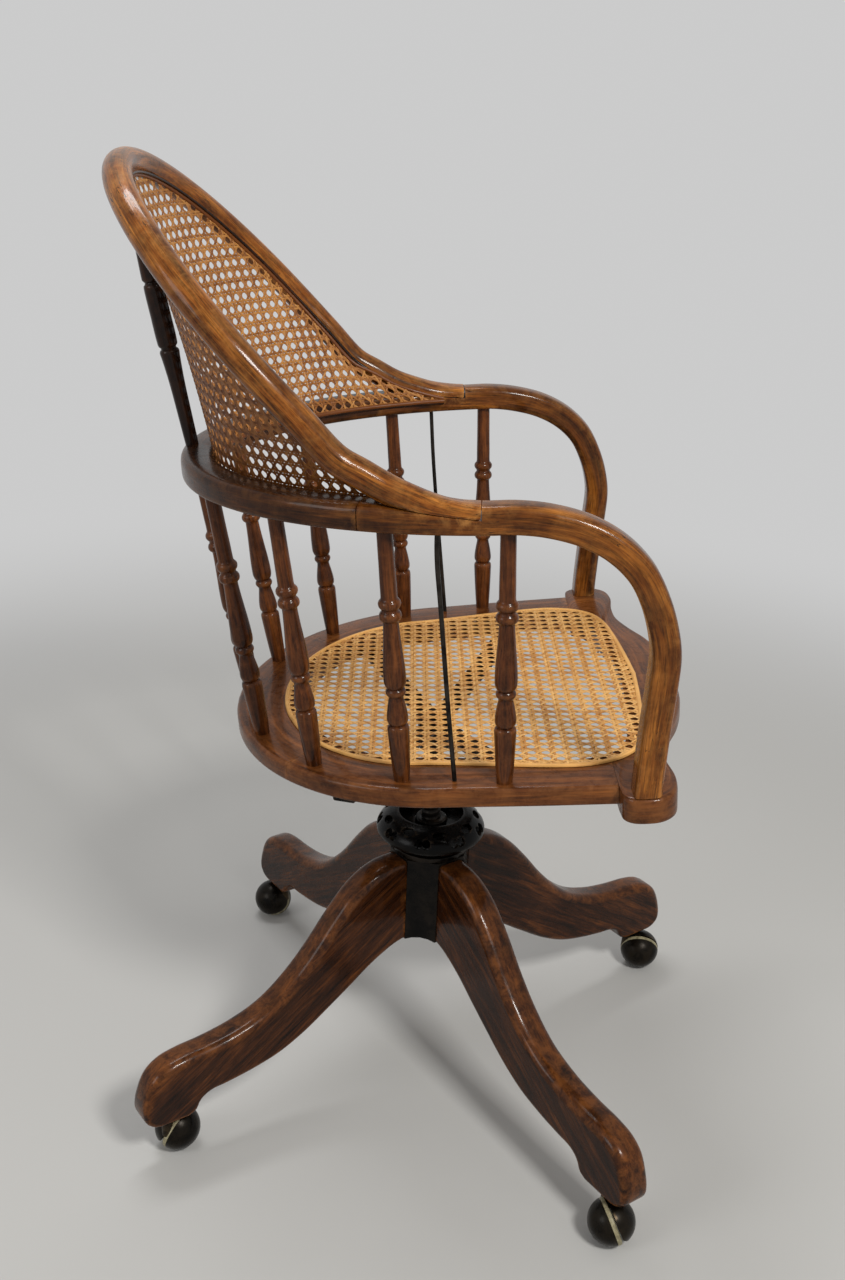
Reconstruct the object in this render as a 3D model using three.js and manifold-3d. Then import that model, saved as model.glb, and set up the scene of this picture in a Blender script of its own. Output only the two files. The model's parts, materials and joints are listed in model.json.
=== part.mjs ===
// A wooden swivel chair: caned seat and back on a four-legged base with ball casters.
// Millimetres, +Z up, the chair faces +X. The origin ends up at the middle of the chair's footprint.
import * as THREE from 'three';
import { mergeVertices } from 'three/addons/utils/BufferGeometryUtils.js';
import Module from 'manifold-3d';

const wasm = await Module();
wasm.setup();

// Clearances and cuts
const gap = 0.3; // between neighbouring pieces
const overrun = 4; // how far a cutting solid runs past what it cuts

// Base
const casterRadius = 23.5;
const casterNeck = 4.5; // ball top to the underside of the leg pad
const casterTrail = 17; // stem axis to ball centre
const wheelAxisDrop = THREE.MathUtils.degToRad(20);
const hoodAxisRise = THREE.MathUtils.degToRad(48);
const axleRadius = 3;
const stemRadius = 4;
const sleeveRadius = 5.5;
const sleeveDepth = 32;
const sleeveFlangeRadius = 9;
const sleeveFlangeThickness = 1.5;
const legCount = 4;
const legAzimuth = THREE.MathUtils.degToRad(34.5);
const legReach = 355;
const rearRightTrim = 8; // the rear right toe is worn and sawn shorter
const casterInset = 38; // toe back to the caster's stem axis
const casterCircle = legReach - casterInset;
const legPeak = 270;
const legThickness = 32;
const legEdge = 6; // softening of the leg's long edges
const tenonThickness = 12;
const tenonHeight = 56;
const tenonDepth = 13;
const hubAcross = 80; // across the flats of the octagon
const hubBottom = 174;
const hubHeight = 98;
const archRadius = 34;
const archRise = 4; // the arch's crown above the hub's lower face
const capRadius = 41;
const capThickness = 5;
const capBossRadius = 22;
const capBossHeight = 5.5;
const capScrewCircle = 31;
const capScrewHeadRadius = 5.5;
const capScrewHeadHeight = 4;
const capScrewRadius = 2.6;
const capScrewLength = 18;

// Height screw, its key and the handwheel
const screwRadius = 10;
const screwEnd = 4; // screw end above the hub's lower face
const keyWidth = 5;
const keyHeight = 3.5;
const keyLength = 40;
const wheelRadius = 58;
const wheelHeight = 31;
const wheelNutRadius = 17;
const wheelNutHeight = 24;
const wheelWebThickness = 5;
const wheelFloorRadius = 38.5;
const wheelMouthRadius = 39;
const wheelWall = 4.5;
const wheelHoleRadius = 4.6;
const wheelHoleCount = 9;
const wheelSlotRadius = 4.5;
const turntableHeight = 390; // underside of the screw's collar above the floor
const collarRadius = 17;
const collarThickness = 5;
const washerThickness = 2.5;
const pinRadius = 8;
const bossRadius = 18;
const bossHeight = 26;
const swivelNutRadius = 13;
const swivelNutHeight = 6;

// Seat frame, in its own sloping frame
const seatSlope = THREE.MathUtils.degToRad(5.4); // front edge higher than the back
const slopePivotDepth = 100; // the slope turns about a line this far under the seat top
const seatRise = 70; // turntable to the top of the rim at the column
const seatHeight = turntableHeight + seatRise;
const rimThickness = 19;
const rimEdge = 1.6;
const seatRear = 196; // column axis to the rearmost point of the rim
const seatHalfWidth = 226; // where the rear curve ends
const seatCurveEnd = 20; // x of that place
const seatJointX = 165; // where side rails meet the front board
const rimFlare = 9; // the side rails widen this much up to the front board
const seatJointHalfWidth = seatHalfWidth + rimFlare;
const scarfAngle = THREE.MathUtils.degToRad(130);
const earFlare = 36; // the ears stand out this far past the rim
const earHalfWidth = seatHalfWidth + earFlare;
const seatFront = 253;
const earThickness = 25;
const earWidth = 60; // the front board is thicker over this width at each end
const earInnerHalfWidth = earHalfWidth - earWidth;
const earEdge = 3;
const rimBand = 49; // rim left behind and beside the cane binding
const caneRear = seatRear - rimBand;
const caneHalfWidth = seatHalfWidth - rimBand;
const rimFrontBand = 30; // the rim narrows to this towards the front
const caneFrontHalfWidth = seatHalfWidth - rimFrontBand;
const boardBand = 39;
const caneFront = seatFront - boardBand;
const caneEdgeWidth = 5; // width of the binding
const caneLap = 11; // the cane laps this far over the rim
const caneThickness = 2;
const bindingHeight = 2.6;

// Seat iron
const ironInset = 12; // the front screws stand in three of these, the rear ones four
const ironWidth = 22;
const ironThickness = 6;
const ironRearX = -74;
const ironRearY = seatHalfWidth - 4 * ironInset;
const ironFrontX = 96;
const ironFrontY = seatHalfWidth - 3 * ironInset;
const ironPadLength = 30;
const woodScrewRadius = 2.4;
const woodScrewLength = 14;
const woodScrewHeadRadius = 5;
const woodScrewHeadHeight = 2.5;

// Spindles, rods, arms, rail, hoop and post, in the seat's frame
const spindleRadius = 10;
const spindleEndRadius = 6.3; // the ends go into their holes without a shoulder
const spindleTenon = 11;
const railHeight = 237; // seat top to the rail's underside at the column
const railDip = THREE.MathUtils.degToRad(1.6); // the rail falls this much towards the front
const railThickness = 24.5;
const railWidth = 32;
const railSetback = 26; // the rail overhangs the rim this much behind
const railRear = seatRear + railSetback;
const railFlare = 14; // and this much at the sides
const railHalfWidth = seatHalfWidth + railFlare;
const railCurveEnd = 84;
const railEdge = 3.5;
const railEndX = -42; // where the rear rail meets the arms
const rodRadius = 2.1;
const rodCollarRadius = 5;
const rodCollarHeight = 3;
const armWidth = 30;
const armThickness = 25;
const armFootInset = 16; // side of the ear in to the middle of the arm's foot
const armFrontSetback = 49.5; // front of the seat back to the arm's foremost point
const armTenonRadius = 7;
const armTenon = 14;
const seamEndX = 56; // front end of the hoop's foot
const seamDepth = 11; // thickness of the hoop's foot at its end
const hoopRadius = 13;
const hoopInset = 33; // outside of the rail in to the middle of the hoop's sides
const hoopHalfWidth = railHalfWidth - hoopInset;
const hoopLean = THREE.MathUtils.degToRad(38.8);
const hoopTop = 526; // seat top to the hoop's centre line at the top
const hoopShoulder = 113; // how far behind the column the round top begins
const hoopStraight = 84; // length of the straight sides under the round top
const postRadius = 9.5;
const postEndRadius = 6.3;
const postTenon = 8;
const postSetback = 10; // outside of the rail in to the post's foot
const postFoot = railRear - postSetback;
const backCaneThickness = 2.4;
const backCaneSeat = 25; // the cane's lower edge lies this far inside the rail's outer edge
const backCaneTaper = 9; // the lower edge leaves the rail's curve by this much at its ends
const backCaneCorner = railHalfWidth - backCaneSeat - backCaneTaper;
const backCaneEnd = -8; // x of the corner where the cane ends
const backCaneBulge = 5;
const backCaneLift = 1; // clears the rail and the hoop
const backCaneAhead = 2; // the cane meets the hoop this far before its middle plane

// Materials
const finish = (color, roughness, metalness) =>
  new THREE.MeshStandardMaterial({ color, roughness, metalness });
const legWood = finish(0x4a2414, 0.3, 0);
const seatWood = finish(0x6b4023, 0.35, 0);
const armWood = finish(0x7a4a22, 0.32, 0);
const turnedWood = finish(0x5f351c, 0.35, 0);
const darkWood = finish(0x2c1a12, 0.4, 0);
const seatCaneFinish = finish(0xd09a4a, 0.5, 0);
const backCaneFinish = finish(0xa86f35, 0.5, 0);
const blackIron = finish(0x17181a, 0.45, 0.8);
const bronze = finish(0x3a352e, 0.35, 0.9);
const steel = finish(0x55565a, 0.4, 0.9);

// Solids
function toSolid(geometry) {
  const bare = geometry.index ? geometry.toNonIndexed() : geometry.clone();
  bare.deleteAttribute('normal');
  bare.deleteAttribute('uv');
  const merged = mergeVertices(bare, 1e-4);
  const mesh = new wasm.Mesh({
    numProp: 3,
    vertProperties: new Float32Array(merged.attributes.position.array),
    triVerts: new Uint32Array(merged.index.array),
  });
  return new wasm.Manifold(mesh);
}

function toGeometry(solid) {
  const mesh = solid.getMesh();
  const geometry = new THREE.BufferGeometry();
  geometry.setAttribute('position', new THREE.BufferAttribute(mesh.vertProperties, 3));
  geometry.setIndex(new THREE.BufferAttribute(mesh.triVerts, 1));
  geometry.computeVertexNormals();
  return geometry;
}

const join = (...parts) => toGeometry(parts.map(toSolid).reduce((a, b) => a.add(b)));
const cut = (body, ...tools) =>
  toGeometry(tools.map(toSolid).reduce((a, b) => a.subtract(b), toSolid(body)));
const common = (a, b) => toGeometry(toSolid(a).intersect(toSolid(b)));

// Basic shapes, all returned as geometries
function cylinder(radius, bottom, top, sides = 16) {
  const geometry = new THREE.CylinderGeometry(radius, radius, top - bottom, sides);
  return geometry.rotateX(Math.PI / 2).translate(0, 0, (top + bottom) / 2);
}

function block(minX, maxX, minY, maxY, minZ, maxZ) {
  const geometry = new THREE.BoxGeometry(maxX - minX, maxY - minY, maxZ - minZ);
  return geometry.translate((minX + maxX) / 2, (minY + maxY) / 2, (minZ + maxZ) / 2);
}

function lathe(profile, sides = 16) {
  const points = profile.map(([r, z]) => new THREE.Vector2(r, z));
  return new THREE.LatheGeometry(points, sides).rotateX(Math.PI / 2);
}

function slab(outline, bottom, top, edge = 0, holes = []) {
  const shape = new THREE.Shape(outline);
  shape.holes = holes.map((points) => new THREE.Path(points));
  const geometry = new THREE.ExtrudeGeometry(shape, {
    depth: top - bottom - 2 * edge,
    bevelEnabled: edge > 0,
    bevelSize: edge,
    bevelOffset: -edge,
    bevelThickness: edge,
    bevelSegments: 1,
    steps: 1,
  });
  return geometry.translate(0, 0, bottom + edge);
}

// Puts a geometry made along +Z from the origin onto the line from one point towards another
function aim(geometry, from, to) {
  const direction = to.clone().sub(from).normalize();
  const turn = new THREE.Quaternion().setFromUnitVectors(new THREE.Vector3(0, 0, 1), direction);
  return geometry.applyQuaternion(turn).translate(from.x, from.y, from.z);
}

// A closed tube of varying section: every ring has as many points, in the same order
function loft(rings) {
  const positions = [];
  const index = [];
  const count = rings[0].length;
  rings.forEach((ring) => ring.forEach((p) => positions.push(p.x, p.y, p.z)));
  for (let i = 0; i < rings.length - 1; i += 1) {
    for (let j = 0; j < count; j += 1) {
      const a = i * count + j;
      const b = i * count + ((j + 1) % count);
      index.push(a, b, b + count, a, b + count, a + count);
    }
  }
  [rings[0], rings[rings.length - 1]].forEach((ring, end) => {
    const middle = ring.reduce((sum, p) => sum.add(p), new THREE.Vector3()).divideScalar(count);
    const hub = positions.length / 3;
    const first = end ? (rings.length - 1) * count : 0;
    positions.push(middle.x, middle.y, middle.z);
    for (let j = 0; j < count; j += 1) {
      const a = first + j;
      const b = first + ((j + 1) % count);
      index.push(...(end ? [hub, a, b] : [hub, b, a]));
    }
  });
  const geometry = new THREE.BufferGeometry();
  geometry.setAttribute('position', new THREE.Float32BufferAttribute(positions, 3));
  geometry.setIndex(index);
  if (toSolid(geometry).volume() < 0) geometry.setIndex(index.reverse());
  return geometry;
}

const v2 = (x, y) => new THREE.Vector2(x, y);
const v3 = (x, y, z) => new THREE.Vector3(x, y, z);
const mirrorY = (points) => points.map((p) => v2(p.x, -p.y)).reverse();
const inset = (outline, distance) => outline.map((p, i) => {
  const before = outline[(i + outline.length - 1) % outline.length];
  const after = outline[(i + 1) % outline.length];
  const along = after.clone().sub(before).normalize();
  return v2(p.x - along.y * distance, p.y + along.x * distance);
});

// Groups: the base stands level, and everything above the turntable slopes with the seat
const chair = new THREE.Group();
const base = new THREE.Group();
const seat = new THREE.Group();
const slope = new THREE.Matrix4()
  .makeTranslation(0, 0, seatHeight - slopePivotDepth)
  .multiply(new THREE.Matrix4().makeRotationY(-seatSlope))
  .multiply(new THREE.Matrix4().makeTranslation(0, 0, slopePivotDepth));
seat.applyMatrix4(slope);
chair.add(base, seat);

function place(group, name, geometry, material) {
  const mesh = new THREE.Mesh(geometry, material);
  mesh.name = name;
  group.add(mesh);
  return mesh;
}

// Legs
const padHeight = 2 * casterRadius + casterNeck;
const flangeBottom = padHeight + gap;
const flangeTop = flangeBottom + sleeveFlangeThickness;
const hubFace = hubAcross / 2;
const legRoot = hubFace + gap;
const hubTop = hubBottom + hubHeight;
const legTopShares = [
  [0.0, 0.995], [0.03, 1.0], [0.07, 0.998], [0.14, 0.966], [0.205, 0.905], [0.285, 0.782],
  [0.365, 0.64], [0.445, 0.523], [0.54, 0.423], [0.65, 0.365], [0.76, 0.338], [0.85, 0.328],
  [0.915, 0.307], [0.962, 0.259], [0.99, 0.181], [1.0, 0.098],
];
const legToeShares = [[0.993, 0.044], [0.965, 0.008], [0.94, 0.0]];
const legUnderShares = [
  [0.825, 0.0], [0.797, 0.02], [0.778, 0.064], [0.745, 0.092], [0.68, 0.102], [0.585, 0.122],
  [0.49, 0.156], [0.395, 0.22], [0.3, 0.308], [0.215, 0.391], [0.135, 0.464], [0.06, 0.505], [0.0, 0.522],
];
const legPoint = (reach) => ([r, z]) =>
  v2(legRoot + r * (reach - legRoot), padHeight + z * (legPeak - padHeight));
const legUnderside = legPoint(legReach)(legUnderShares[legUnderShares.length - 1]).y;
const tenonMiddle = (hubTop + legUnderside) / 2;

function legOutline(reach) {
  const top = new THREE.SplineCurve(legTopShares.map(legPoint(reach))).getPoints(18);
  const under = new THREE.SplineCurve(legUnderShares.map(legPoint(legReach))).getPoints(15);
  return [...top, ...legToeShares.map(legPoint(reach)), ...under].reverse();
}

function legGeometry(reach) {
  const shape = new THREE.Shape(legOutline(reach));
  const plank = new THREE.ExtrudeGeometry(shape, {
    depth: legThickness - 2 * legEdge,
    bevelEnabled: true,
    bevelSize: legEdge,
    bevelOffset: -legEdge,
    bevelThickness: legEdge,
    bevelSegments: 2,
    steps: 1,
  });
  plank.rotateX(Math.PI / 2).translate(0, legThickness / 2 - legEdge, 0);
  const tenon = block(
    hubFace - tenonDepth + gap, legRoot + legEdge, -tenonThickness / 2, tenonThickness / 2,
    tenonMiddle - tenonHeight / 2, tenonMiddle + tenonHeight / 2,
  );
  const bore = cylinder(sleeveRadius + gap, padHeight - overrun, padHeight + sleeveDepth + gap, 12);
  const recess = cylinder(sleeveFlangeRadius + gap, padHeight - overrun, flangeTop + gap, 12);
  return cut(
    join(plank, tenon), bore.translate(casterCircle, 0, 0), recess.translate(casterCircle, 0, 0));
}

// Hub: an octagon with a mortise for each leg and a bore for the screw
function hubGeometry() {
  const corner = hubFace / Math.cos(Math.PI / 8);
  const body = cylinder(corner, hubBottom, hubTop, 8).rotateZ(Math.PI / 8 + legAzimuth);
  const bore = cylinder(screwRadius + gap, hubBottom - overrun, hubTop + overrun, 20);
  const tools = [bore, keySeat(gap)];
  for (let i = 0; i < legCount; i += 1) {
    const turn = legAzimuth + (i * 2 * Math.PI) / legCount;
    const mortise = block(
      hubFace - tenonDepth, hubFace + overrun, -tenonThickness / 2 - gap, tenonThickness / 2 + gap,
      tenonMiddle - tenonHeight / 2 - gap, tenonMiddle + tenonHeight / 2 + gap,
    );
    const arch = cylinder(archRadius, 0, hubAcross, 24).rotateY(Math.PI / 2);
    arch.translate(screwRadius + gap + overrun, 0, hubBottom + archRise - archRadius);
    const hole = cylinder(capScrewRadius + gap, hubTop - capScrewLength, hubTop + overrun, 10);
    tools.push(mortise.rotateZ(turn), arch.rotateZ(turn + Math.PI / legCount));
    tools.push(hole.translate(capScrewCircle, 0, 0).rotateZ(turn + Math.PI / legCount));
  }
  return cut(body, ...tools);
}

// A key in the hub's bore runs in a keyway along the screw, so the screw rises without turning
function keySeat(clearance) {
  const middle = (hubBottom + hubTop) / 2;
  return block(
    screwRadius - keyHeight / 2 - (clearance ? overrun : 0), screwRadius + keyHeight / 2 + clearance,
    -keyWidth / 2 - clearance, keyWidth / 2 + clearance,
    middle - keyLength / 2 - clearance, middle + keyLength / 2 + clearance,
  );
}

// Cap plate on the hub, with a thrust boss under the handwheel
const capBottom = hubTop + gap;
const capTop = capBottom + capThickness;
const capBossTop = capTop + capBossHeight;
function capGeometry() {
  const plate = lathe([
    [screwRadius + gap, capBottom], [capRadius, capBottom], [capRadius, capTop],
    [capBossRadius, capTop], [capBossRadius, capBossTop], [screwRadius + gap, capBossTop],
    [screwRadius + gap, capBottom],
  ], 24);
  const holes = [];
  for (let i = 0; i < legCount; i += 1) {
    const turn = legAzimuth + ((i + 0.5) * 2 * Math.PI) / legCount;
    const hole = cylinder(capScrewRadius + gap, capBottom - overrun, capTop + overrun, 10);
    holes.push(hole.translate(capScrewCircle, 0, 0).rotateZ(turn));
  }
  return cut(plate, ...holes);
}

const headSideShare = 0.7; // straight part of a screw head's side
const headTopShare = 0.8; // flat top of the head
function capScrewGeometry() {
  const headBottom = capTop + gap;
  return lathe([
    [0, capBottom - capScrewLength + gap], [capScrewRadius, capBottom - capScrewLength + gap],
    [capScrewRadius, headBottom], [capScrewHeadRadius, headBottom],
    [capScrewHeadRadius, headBottom + capScrewHeadHeight * headSideShare],
    [capScrewHeadRadius * headTopShare, headBottom + capScrewHeadHeight],
    [0, headBottom + capScrewHeadHeight],
  ], 10);
}

// Handwheel: a pierced iron bowl around the nut that drives the screw
const wheelBottom = capBossTop + gap;
const wheelTop = wheelBottom + wheelHeight;
const wheelOuterShares = [
  [0.76, 0.03], [0.9, 0.12], [0.985, 0.27], [1.0, 0.42], [0.965, 0.6], [0.88, 0.79], [0.78, 0.93],
];
const wheelHoleShare = 0.62; // height of the round holes
const wheelHolePairShare = 0.85; // hole radii from the middle of a pair to each hole
const wheelSlotShare = -0.687; // height on the axis that the sloping slots are aimed from
const wheelSlotReachShares = [0.95, 1.45]; // stretch of that slope along which they cut
const wheelSlotStretch = 1.6;
const wheelCutShare = 0.6; // holes are cut from this radius outward
function handwheelGeometry() {
  const outer = wheelOuterShares.map(([r, z]) => [r * wheelRadius, wheelBottom + z * wheelHeight]);
  const shellBottom = wheelBottom + wheelWebThickness;
  const shellHeight = wheelHeight - 2 * wheelWebThickness;
  const shell = wheelOuterShares.map(([r, z]) => [
    r * wheelRadius - wheelWall, shellBottom + z * shellHeight,
  ]);
  const bore = screwRadius + gap;
  const profile = [
    [bore, wheelBottom], [wheelFloorRadius, wheelBottom], ...outer,
    [wheelMouthRadius, wheelTop], [wheelMouthRadius - wheelWall, wheelTop],
    [wheelMouthRadius - wheelWall, wheelTop - wheelWall], ...shell.reverse(),
    [wheelNutRadius, shellBottom], [wheelNutRadius, wheelBottom + wheelNutHeight],
    [bore, wheelBottom + wheelNutHeight], [bore, wheelBottom],
  ];
  const tools = [];
  for (let i = 0; i < wheelHoleCount; i += 1) {
    const turn = ((i + 0.5) * 2 * Math.PI) / wheelHoleCount;
    [-1, 1].forEach((side) => {
      const hole = cylinder(wheelHoleRadius, wheelRadius * wheelCutShare, wheelRadius + overrun, 8);
      hole.rotateY(Math.PI / 2);
      const offset = side * wheelHoleRadius * wheelHolePairShare;
      hole.translate(0, offset, wheelBottom + wheelHeight * wheelHoleShare);
      tools.push(hole.rotateZ(turn));
    });
    const [slotStart, slotEnd] = wheelSlotReachShares.map((share) => wheelRadius * share);
    const slot = cylinder(wheelSlotRadius, slotStart, slotEnd, 8);
    slot.scale(1, wheelSlotStretch, 1).rotateY(Math.PI / 4);
    slot.translate(0, 0, wheelBottom + wheelHeight * wheelSlotShare);
    tools.push(slot.rotateZ(turn + Math.PI / wheelHoleCount));
  }
  return cut(lathe(profile, 20), ...tools);
}

// Screw with its turntable collar and swivel pin
const collarTop = turntableHeight + collarThickness;
const washerBottom = collarTop + gap;
const bossBottom = washerBottom + washerThickness + gap;
const bossTop = bossBottom + bossHeight;
function screwGeometry() {
  const bottom = hubBottom + screwEnd;
  const nutTop = bossTop + gap + swivelNutHeight;
  const body = lathe([
    [0, bottom], [screwRadius, bottom], [screwRadius, turntableHeight], [collarRadius, turntableHeight],
    [collarRadius, collarTop], [pinRadius, collarTop], [pinRadius, nutTop], [0, nutTop],
  ], 20);
  const keyway = block(
    screwRadius - keyHeight / 2 - gap, screwRadius + overrun, -keyWidth / 2 - gap, keyWidth / 2 + gap,
    bottom - overrun, turntableHeight - 2 * overrun,
  );
  return cut(body, keyway);
}

function ringGeometry(inner, outer, bottom, top) {
  return lathe([[inner, bottom], [outer, bottom], [outer, top], [inner, top], [inner, bottom]], 20);
}

function swivelNutGeometry() {
  const bottom = bossTop + gap;
  const top = bottom + swivelNutHeight;
  const bore = cylinder(pinRadius + gap, bottom - overrun, top + overrun, 16);
  return cut(cylinder(swivelNutRadius, bottom, top, 6), bore);
}

// Ball caster in its own frame: stem axis on Z, ball centre out along +X
const ballCentre = v3(casterTrail, 0, casterRadius);
const wheelAxis = v3(0, -Math.cos(wheelAxisDrop), -Math.sin(wheelAxisDrop));
const hoodAxis = v3(0, Math.cos(hoodAxisRise), Math.sin(hoodAxisRise));
const wheelFace = 2; // the wheel runs this far past the ball's centre
const hoodFaceShare = 0.16;
const wheelBoreShare = 0.6;

function halfSpace(axis, offset) {
  const size = 2 * casterRadius + 2 * overrun;
  const cutter = block(-size, size, -size, size, offset, size);
  return aim(cutter, v3(0, 0, 0), axis.clone()).translate(ballCentre.x, ballCentre.y, ballCentre.z);
}

function ballGeometry(radius) {
  return new THREE.SphereGeometry(radius, 16, 8).rotateX(Math.PI / 2)
    .translate(ballCentre.x, ballCentre.y, ballCentre.z);
}

function axleSolid(radius, back, front, sides = 10) {
  return aim(cylinder(radius, back, front, sides), v3(0, 0, 0), wheelAxis.clone())
    .translate(ballCentre.x, ballCentre.y, ballCentre.z);
}

function casterWheelGeometry() {
  const dome = common(ballGeometry(casterRadius), halfSpace(wheelAxis, -wheelFace));
  return cut(dome, axleSolid(axleRadius + gap, -2 * wheelFace, casterRadius * wheelBoreShare));
}

function casterHoodGeometry() {
  const back = halfSpace(wheelAxis.clone().negate(), wheelFace + 2 * gap);
  const neckTop = flangeBottom - gap;
  const neck = cylinder(sleeveRadius, ballCentre.z, neckTop, 10);
  const stem = cylinder(stemRadius, neckTop - overrun, padHeight + sleeveDepth - gap, 10);
  const dome = common(join(ballGeometry(casterRadius), neck), back);
  const hood = common(dome, halfSpace(hoodAxis, -casterRadius * hoodFaceShare));
  const socket = axleSolid(axleRadius + gap, -casterRadius * wheelBoreShare, 2 * wheelFace);
  return cut(join(hood, stem), socket);
}

function casterAxleGeometry() {
  const reach = casterRadius * wheelBoreShare - gap;
  return axleSolid(axleRadius, -reach, reach);
}

function sleeveGeometry() {
  const sleeveTop = padHeight + sleeveDepth;
  return lathe([
    [stemRadius + gap, flangeBottom], [sleeveFlangeRadius, flangeBottom],
    [sleeveFlangeRadius, flangeTop], [sleeveRadius, flangeTop], [sleeveRadius, sleeveTop],
    [stemRadius + gap, sleeveTop], [stemRadius + gap, flangeBottom],
  ], 12);
}

// Base assembly. Corners are named from the sitter's side; each caster has swung its own way.
const corners = [
  { name: 'front_left', reach: legReach, swing: THREE.MathUtils.degToRad(-42) },
  { name: 'rear_left', reach: legReach, swing: THREE.MathUtils.degToRad(30) },
  { name: 'rear_right', reach: legReach - rearRightTrim, swing: THREE.MathUtils.degToRad(209) },
  { name: 'front_right', reach: legReach, swing: THREE.MathUtils.degToRad(-23) },
];
corners.forEach(({ name, reach, swing }, i) => {
  const turn = legAzimuth + (i * 2 * Math.PI) / legCount;
  const corner = new THREE.Group();
  corner.rotation.z = turn;
  base.add(corner);
  place(corner, `leg_${name}`, legGeometry(reach), legWood);
  const caster = new THREE.Group();
  caster.position.x = casterCircle;
  caster.rotation.z = swing;
  corner.add(caster);
  place(caster, `caster_sleeve_${name}`, sleeveGeometry(), bronze);
  place(caster, `caster_hood_${name}`, casterHoodGeometry(), bronze);
  place(caster, `caster_wheel_${name}`, casterWheelGeometry(), bronze);
  place(caster, `caster_axle_${name}`, casterAxleGeometry(), steel);
  const capScrew = place(base, `cap_screw_${i + 1}`, capScrewGeometry(), blackIron);
  const capTurn = turn + Math.PI / legCount;
  capScrew.position.set(capScrewCircle * Math.cos(capTurn), capScrewCircle * Math.sin(capTurn), 0);
});
place(base, 'hub', hubGeometry(), blackIron);
place(base, 'hub_key', keySeat(0), steel);
place(base, 'hub_cap', capGeometry(), blackIron);
place(base, 'handwheel', handwheelGeometry(), blackIron);
place(base, 'height_screw', screwGeometry(), steel);
const washerTop = washerBottom + washerThickness;
place(base, 'thrust_washer', ringGeometry(pinRadius + gap, collarRadius, washerBottom, washerTop), steel);
place(base, 'swivel_nut', swivelNutGeometry(), steel);

// Seat iron: a boss on the swivel pin and four arms up to the rim
const inSeat = slope.clone().invert();
const ironTop = -rimThickness - gap;
const ironPads = [
  [ironRearX, ironRearY], [ironFrontX, ironFrontY], [ironFrontX, -ironFrontY], [ironRearX, -ironRearY],
];

function ironBar(from, to, width, thickness) {
  const length = from.distanceTo(to);
  const along = to.clone().sub(from).normalize();
  const across = v3(-along.y, along.x, 0).normalize();
  const basis = new THREE.Matrix4().makeBasis(along, across, along.clone().cross(across));
  const bar = new THREE.BoxGeometry(length, width, thickness).applyMatrix4(basis);
  const middle = from.clone().add(to).multiplyScalar(1 / 2);
  return bar.translate(middle.x, middle.y, middle.z);
}

function seatIronGeometry() {
  const boss = cylinder(bossRadius, bossBottom, bossTop, 20).applyMatrix4(inSeat);
  const hub = v3(0, 0, bossTop - ironThickness).applyMatrix4(inSeat);
  const bars = ironPads.map(([x, y]) => {
    const level = ironTop - ironThickness / 2;
    const outward = v3(x, y, 0).normalize();
    const padEnd = v3(x, y, level).addScaledVector(outward, ironPadLength / 2);
    const padStart = v3(x, y, level).addScaledVector(outward, -ironPadLength / 2);
    const pad = ironBar(padStart, padEnd, ironWidth, ironThickness);
    const knee = padStart.clone().addScaledVector(outward, ironThickness);
    return join(ironBar(hub, knee, ironWidth, ironThickness), pad);
  });
  const bore = cylinder(pinRadius + gap, bossBottom - overrun, bossTop + overrun, 20).applyMatrix4(inSeat);
  const room = cylinder(swivelNutRadius + overrun, bossTop, bossTop + bossHeight, 20).applyMatrix4(inSeat);
  const trim = block(-seatRear, seatFront, -earHalfWidth, earHalfWidth, ironTop, 0);
  const holes = ironPads.map(([x, y]) =>
    cylinder(woodScrewRadius + gap, -rimThickness * 3, 0, 8).translate(x, y, 0));
  return cut(join(boss, ...bars), bore, room, trim, ...holes);
}

const woodScrewSeat = ironTop - ironThickness - gap;
const woodScrewTip = woodScrewSeat + woodScrewLength;
function woodScrewGeometry() {
  const headTop = woodScrewSeat;
  const tip = woodScrewTip;
  return lathe([
    [0, headTop - woodScrewHeadHeight], [woodScrewHeadRadius * headTopShare, headTop - woodScrewHeadHeight],
    [woodScrewHeadRadius, headTop], [woodScrewRadius, headTop], [woodScrewRadius, tip], [0, tip],
  ], 8);
}

// Seat frame: one ring outline, cut into a rear bow, two side rails and a front board
const earShares = [
  [0.654, 0.92], [0.66, 0.965], [0.685, 0.991], [0.73, 1.0], [0.79, 0.992], [0.838, 0.95],
  [0.858, 0.86], [0.846, 0.74], [0.85, 0.62], [0.89, 0.5], [0.945, 0.375], [0.985, 0.22], [1.0, 0.0],
];
function ellipseArc(centreX, radiusX, radiusY, steps) {
  const points = [];
  for (let i = 0; i <= steps; i += 1) {
    const angle = Math.PI / 2 + (i * Math.PI) / 2 / steps;
    points.push(v2(centreX + radiusX * Math.cos(angle), radiusY * Math.sin(angle)));
  }
  return points.reverse();
}

function seatOutline() {
  const rear = ellipseArc(seatCurveEnd, seatRear + seatCurveEnd, seatHalfWidth, 12);
  const ear = earShares.map(([x, y]) => v2(x * seatFront, y * earHalfWidth));
  const front = new THREE.SplineCurve(ear).getPoints(22);
  const half = [...rear, v2(seatJointX - rimEdge, seatJointHalfWidth), ...front];
  return closeHalf(half);
}

// The half runs from the rear middle along +Y to the front middle; the other side mirrors it
function closeHalf(half) {
  return [...half, ...mirrorY(half).slice(1, -1)].reverse();
}

const caneCornerShares = [
  [0.6, 1.0], [0.7, 0.99], [0.81, 0.945], [0.888, 0.865], [0.935, 0.74], [0.962, 0.55],
  [0.985, 0.28], [1.0, 0.0],
];
function caneOutline() {
  const rear = ellipseArc(0, caneRear, caneHalfWidth, 12);
  const corner = caneCornerShares.map(([x, y]) => v2(x * caneFront, y * caneFrontHalfWidth));
  const front = new THREE.SplineCurve(corner).getPoints(16);
  return closeHalf([...rear, ...front]);
}

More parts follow.
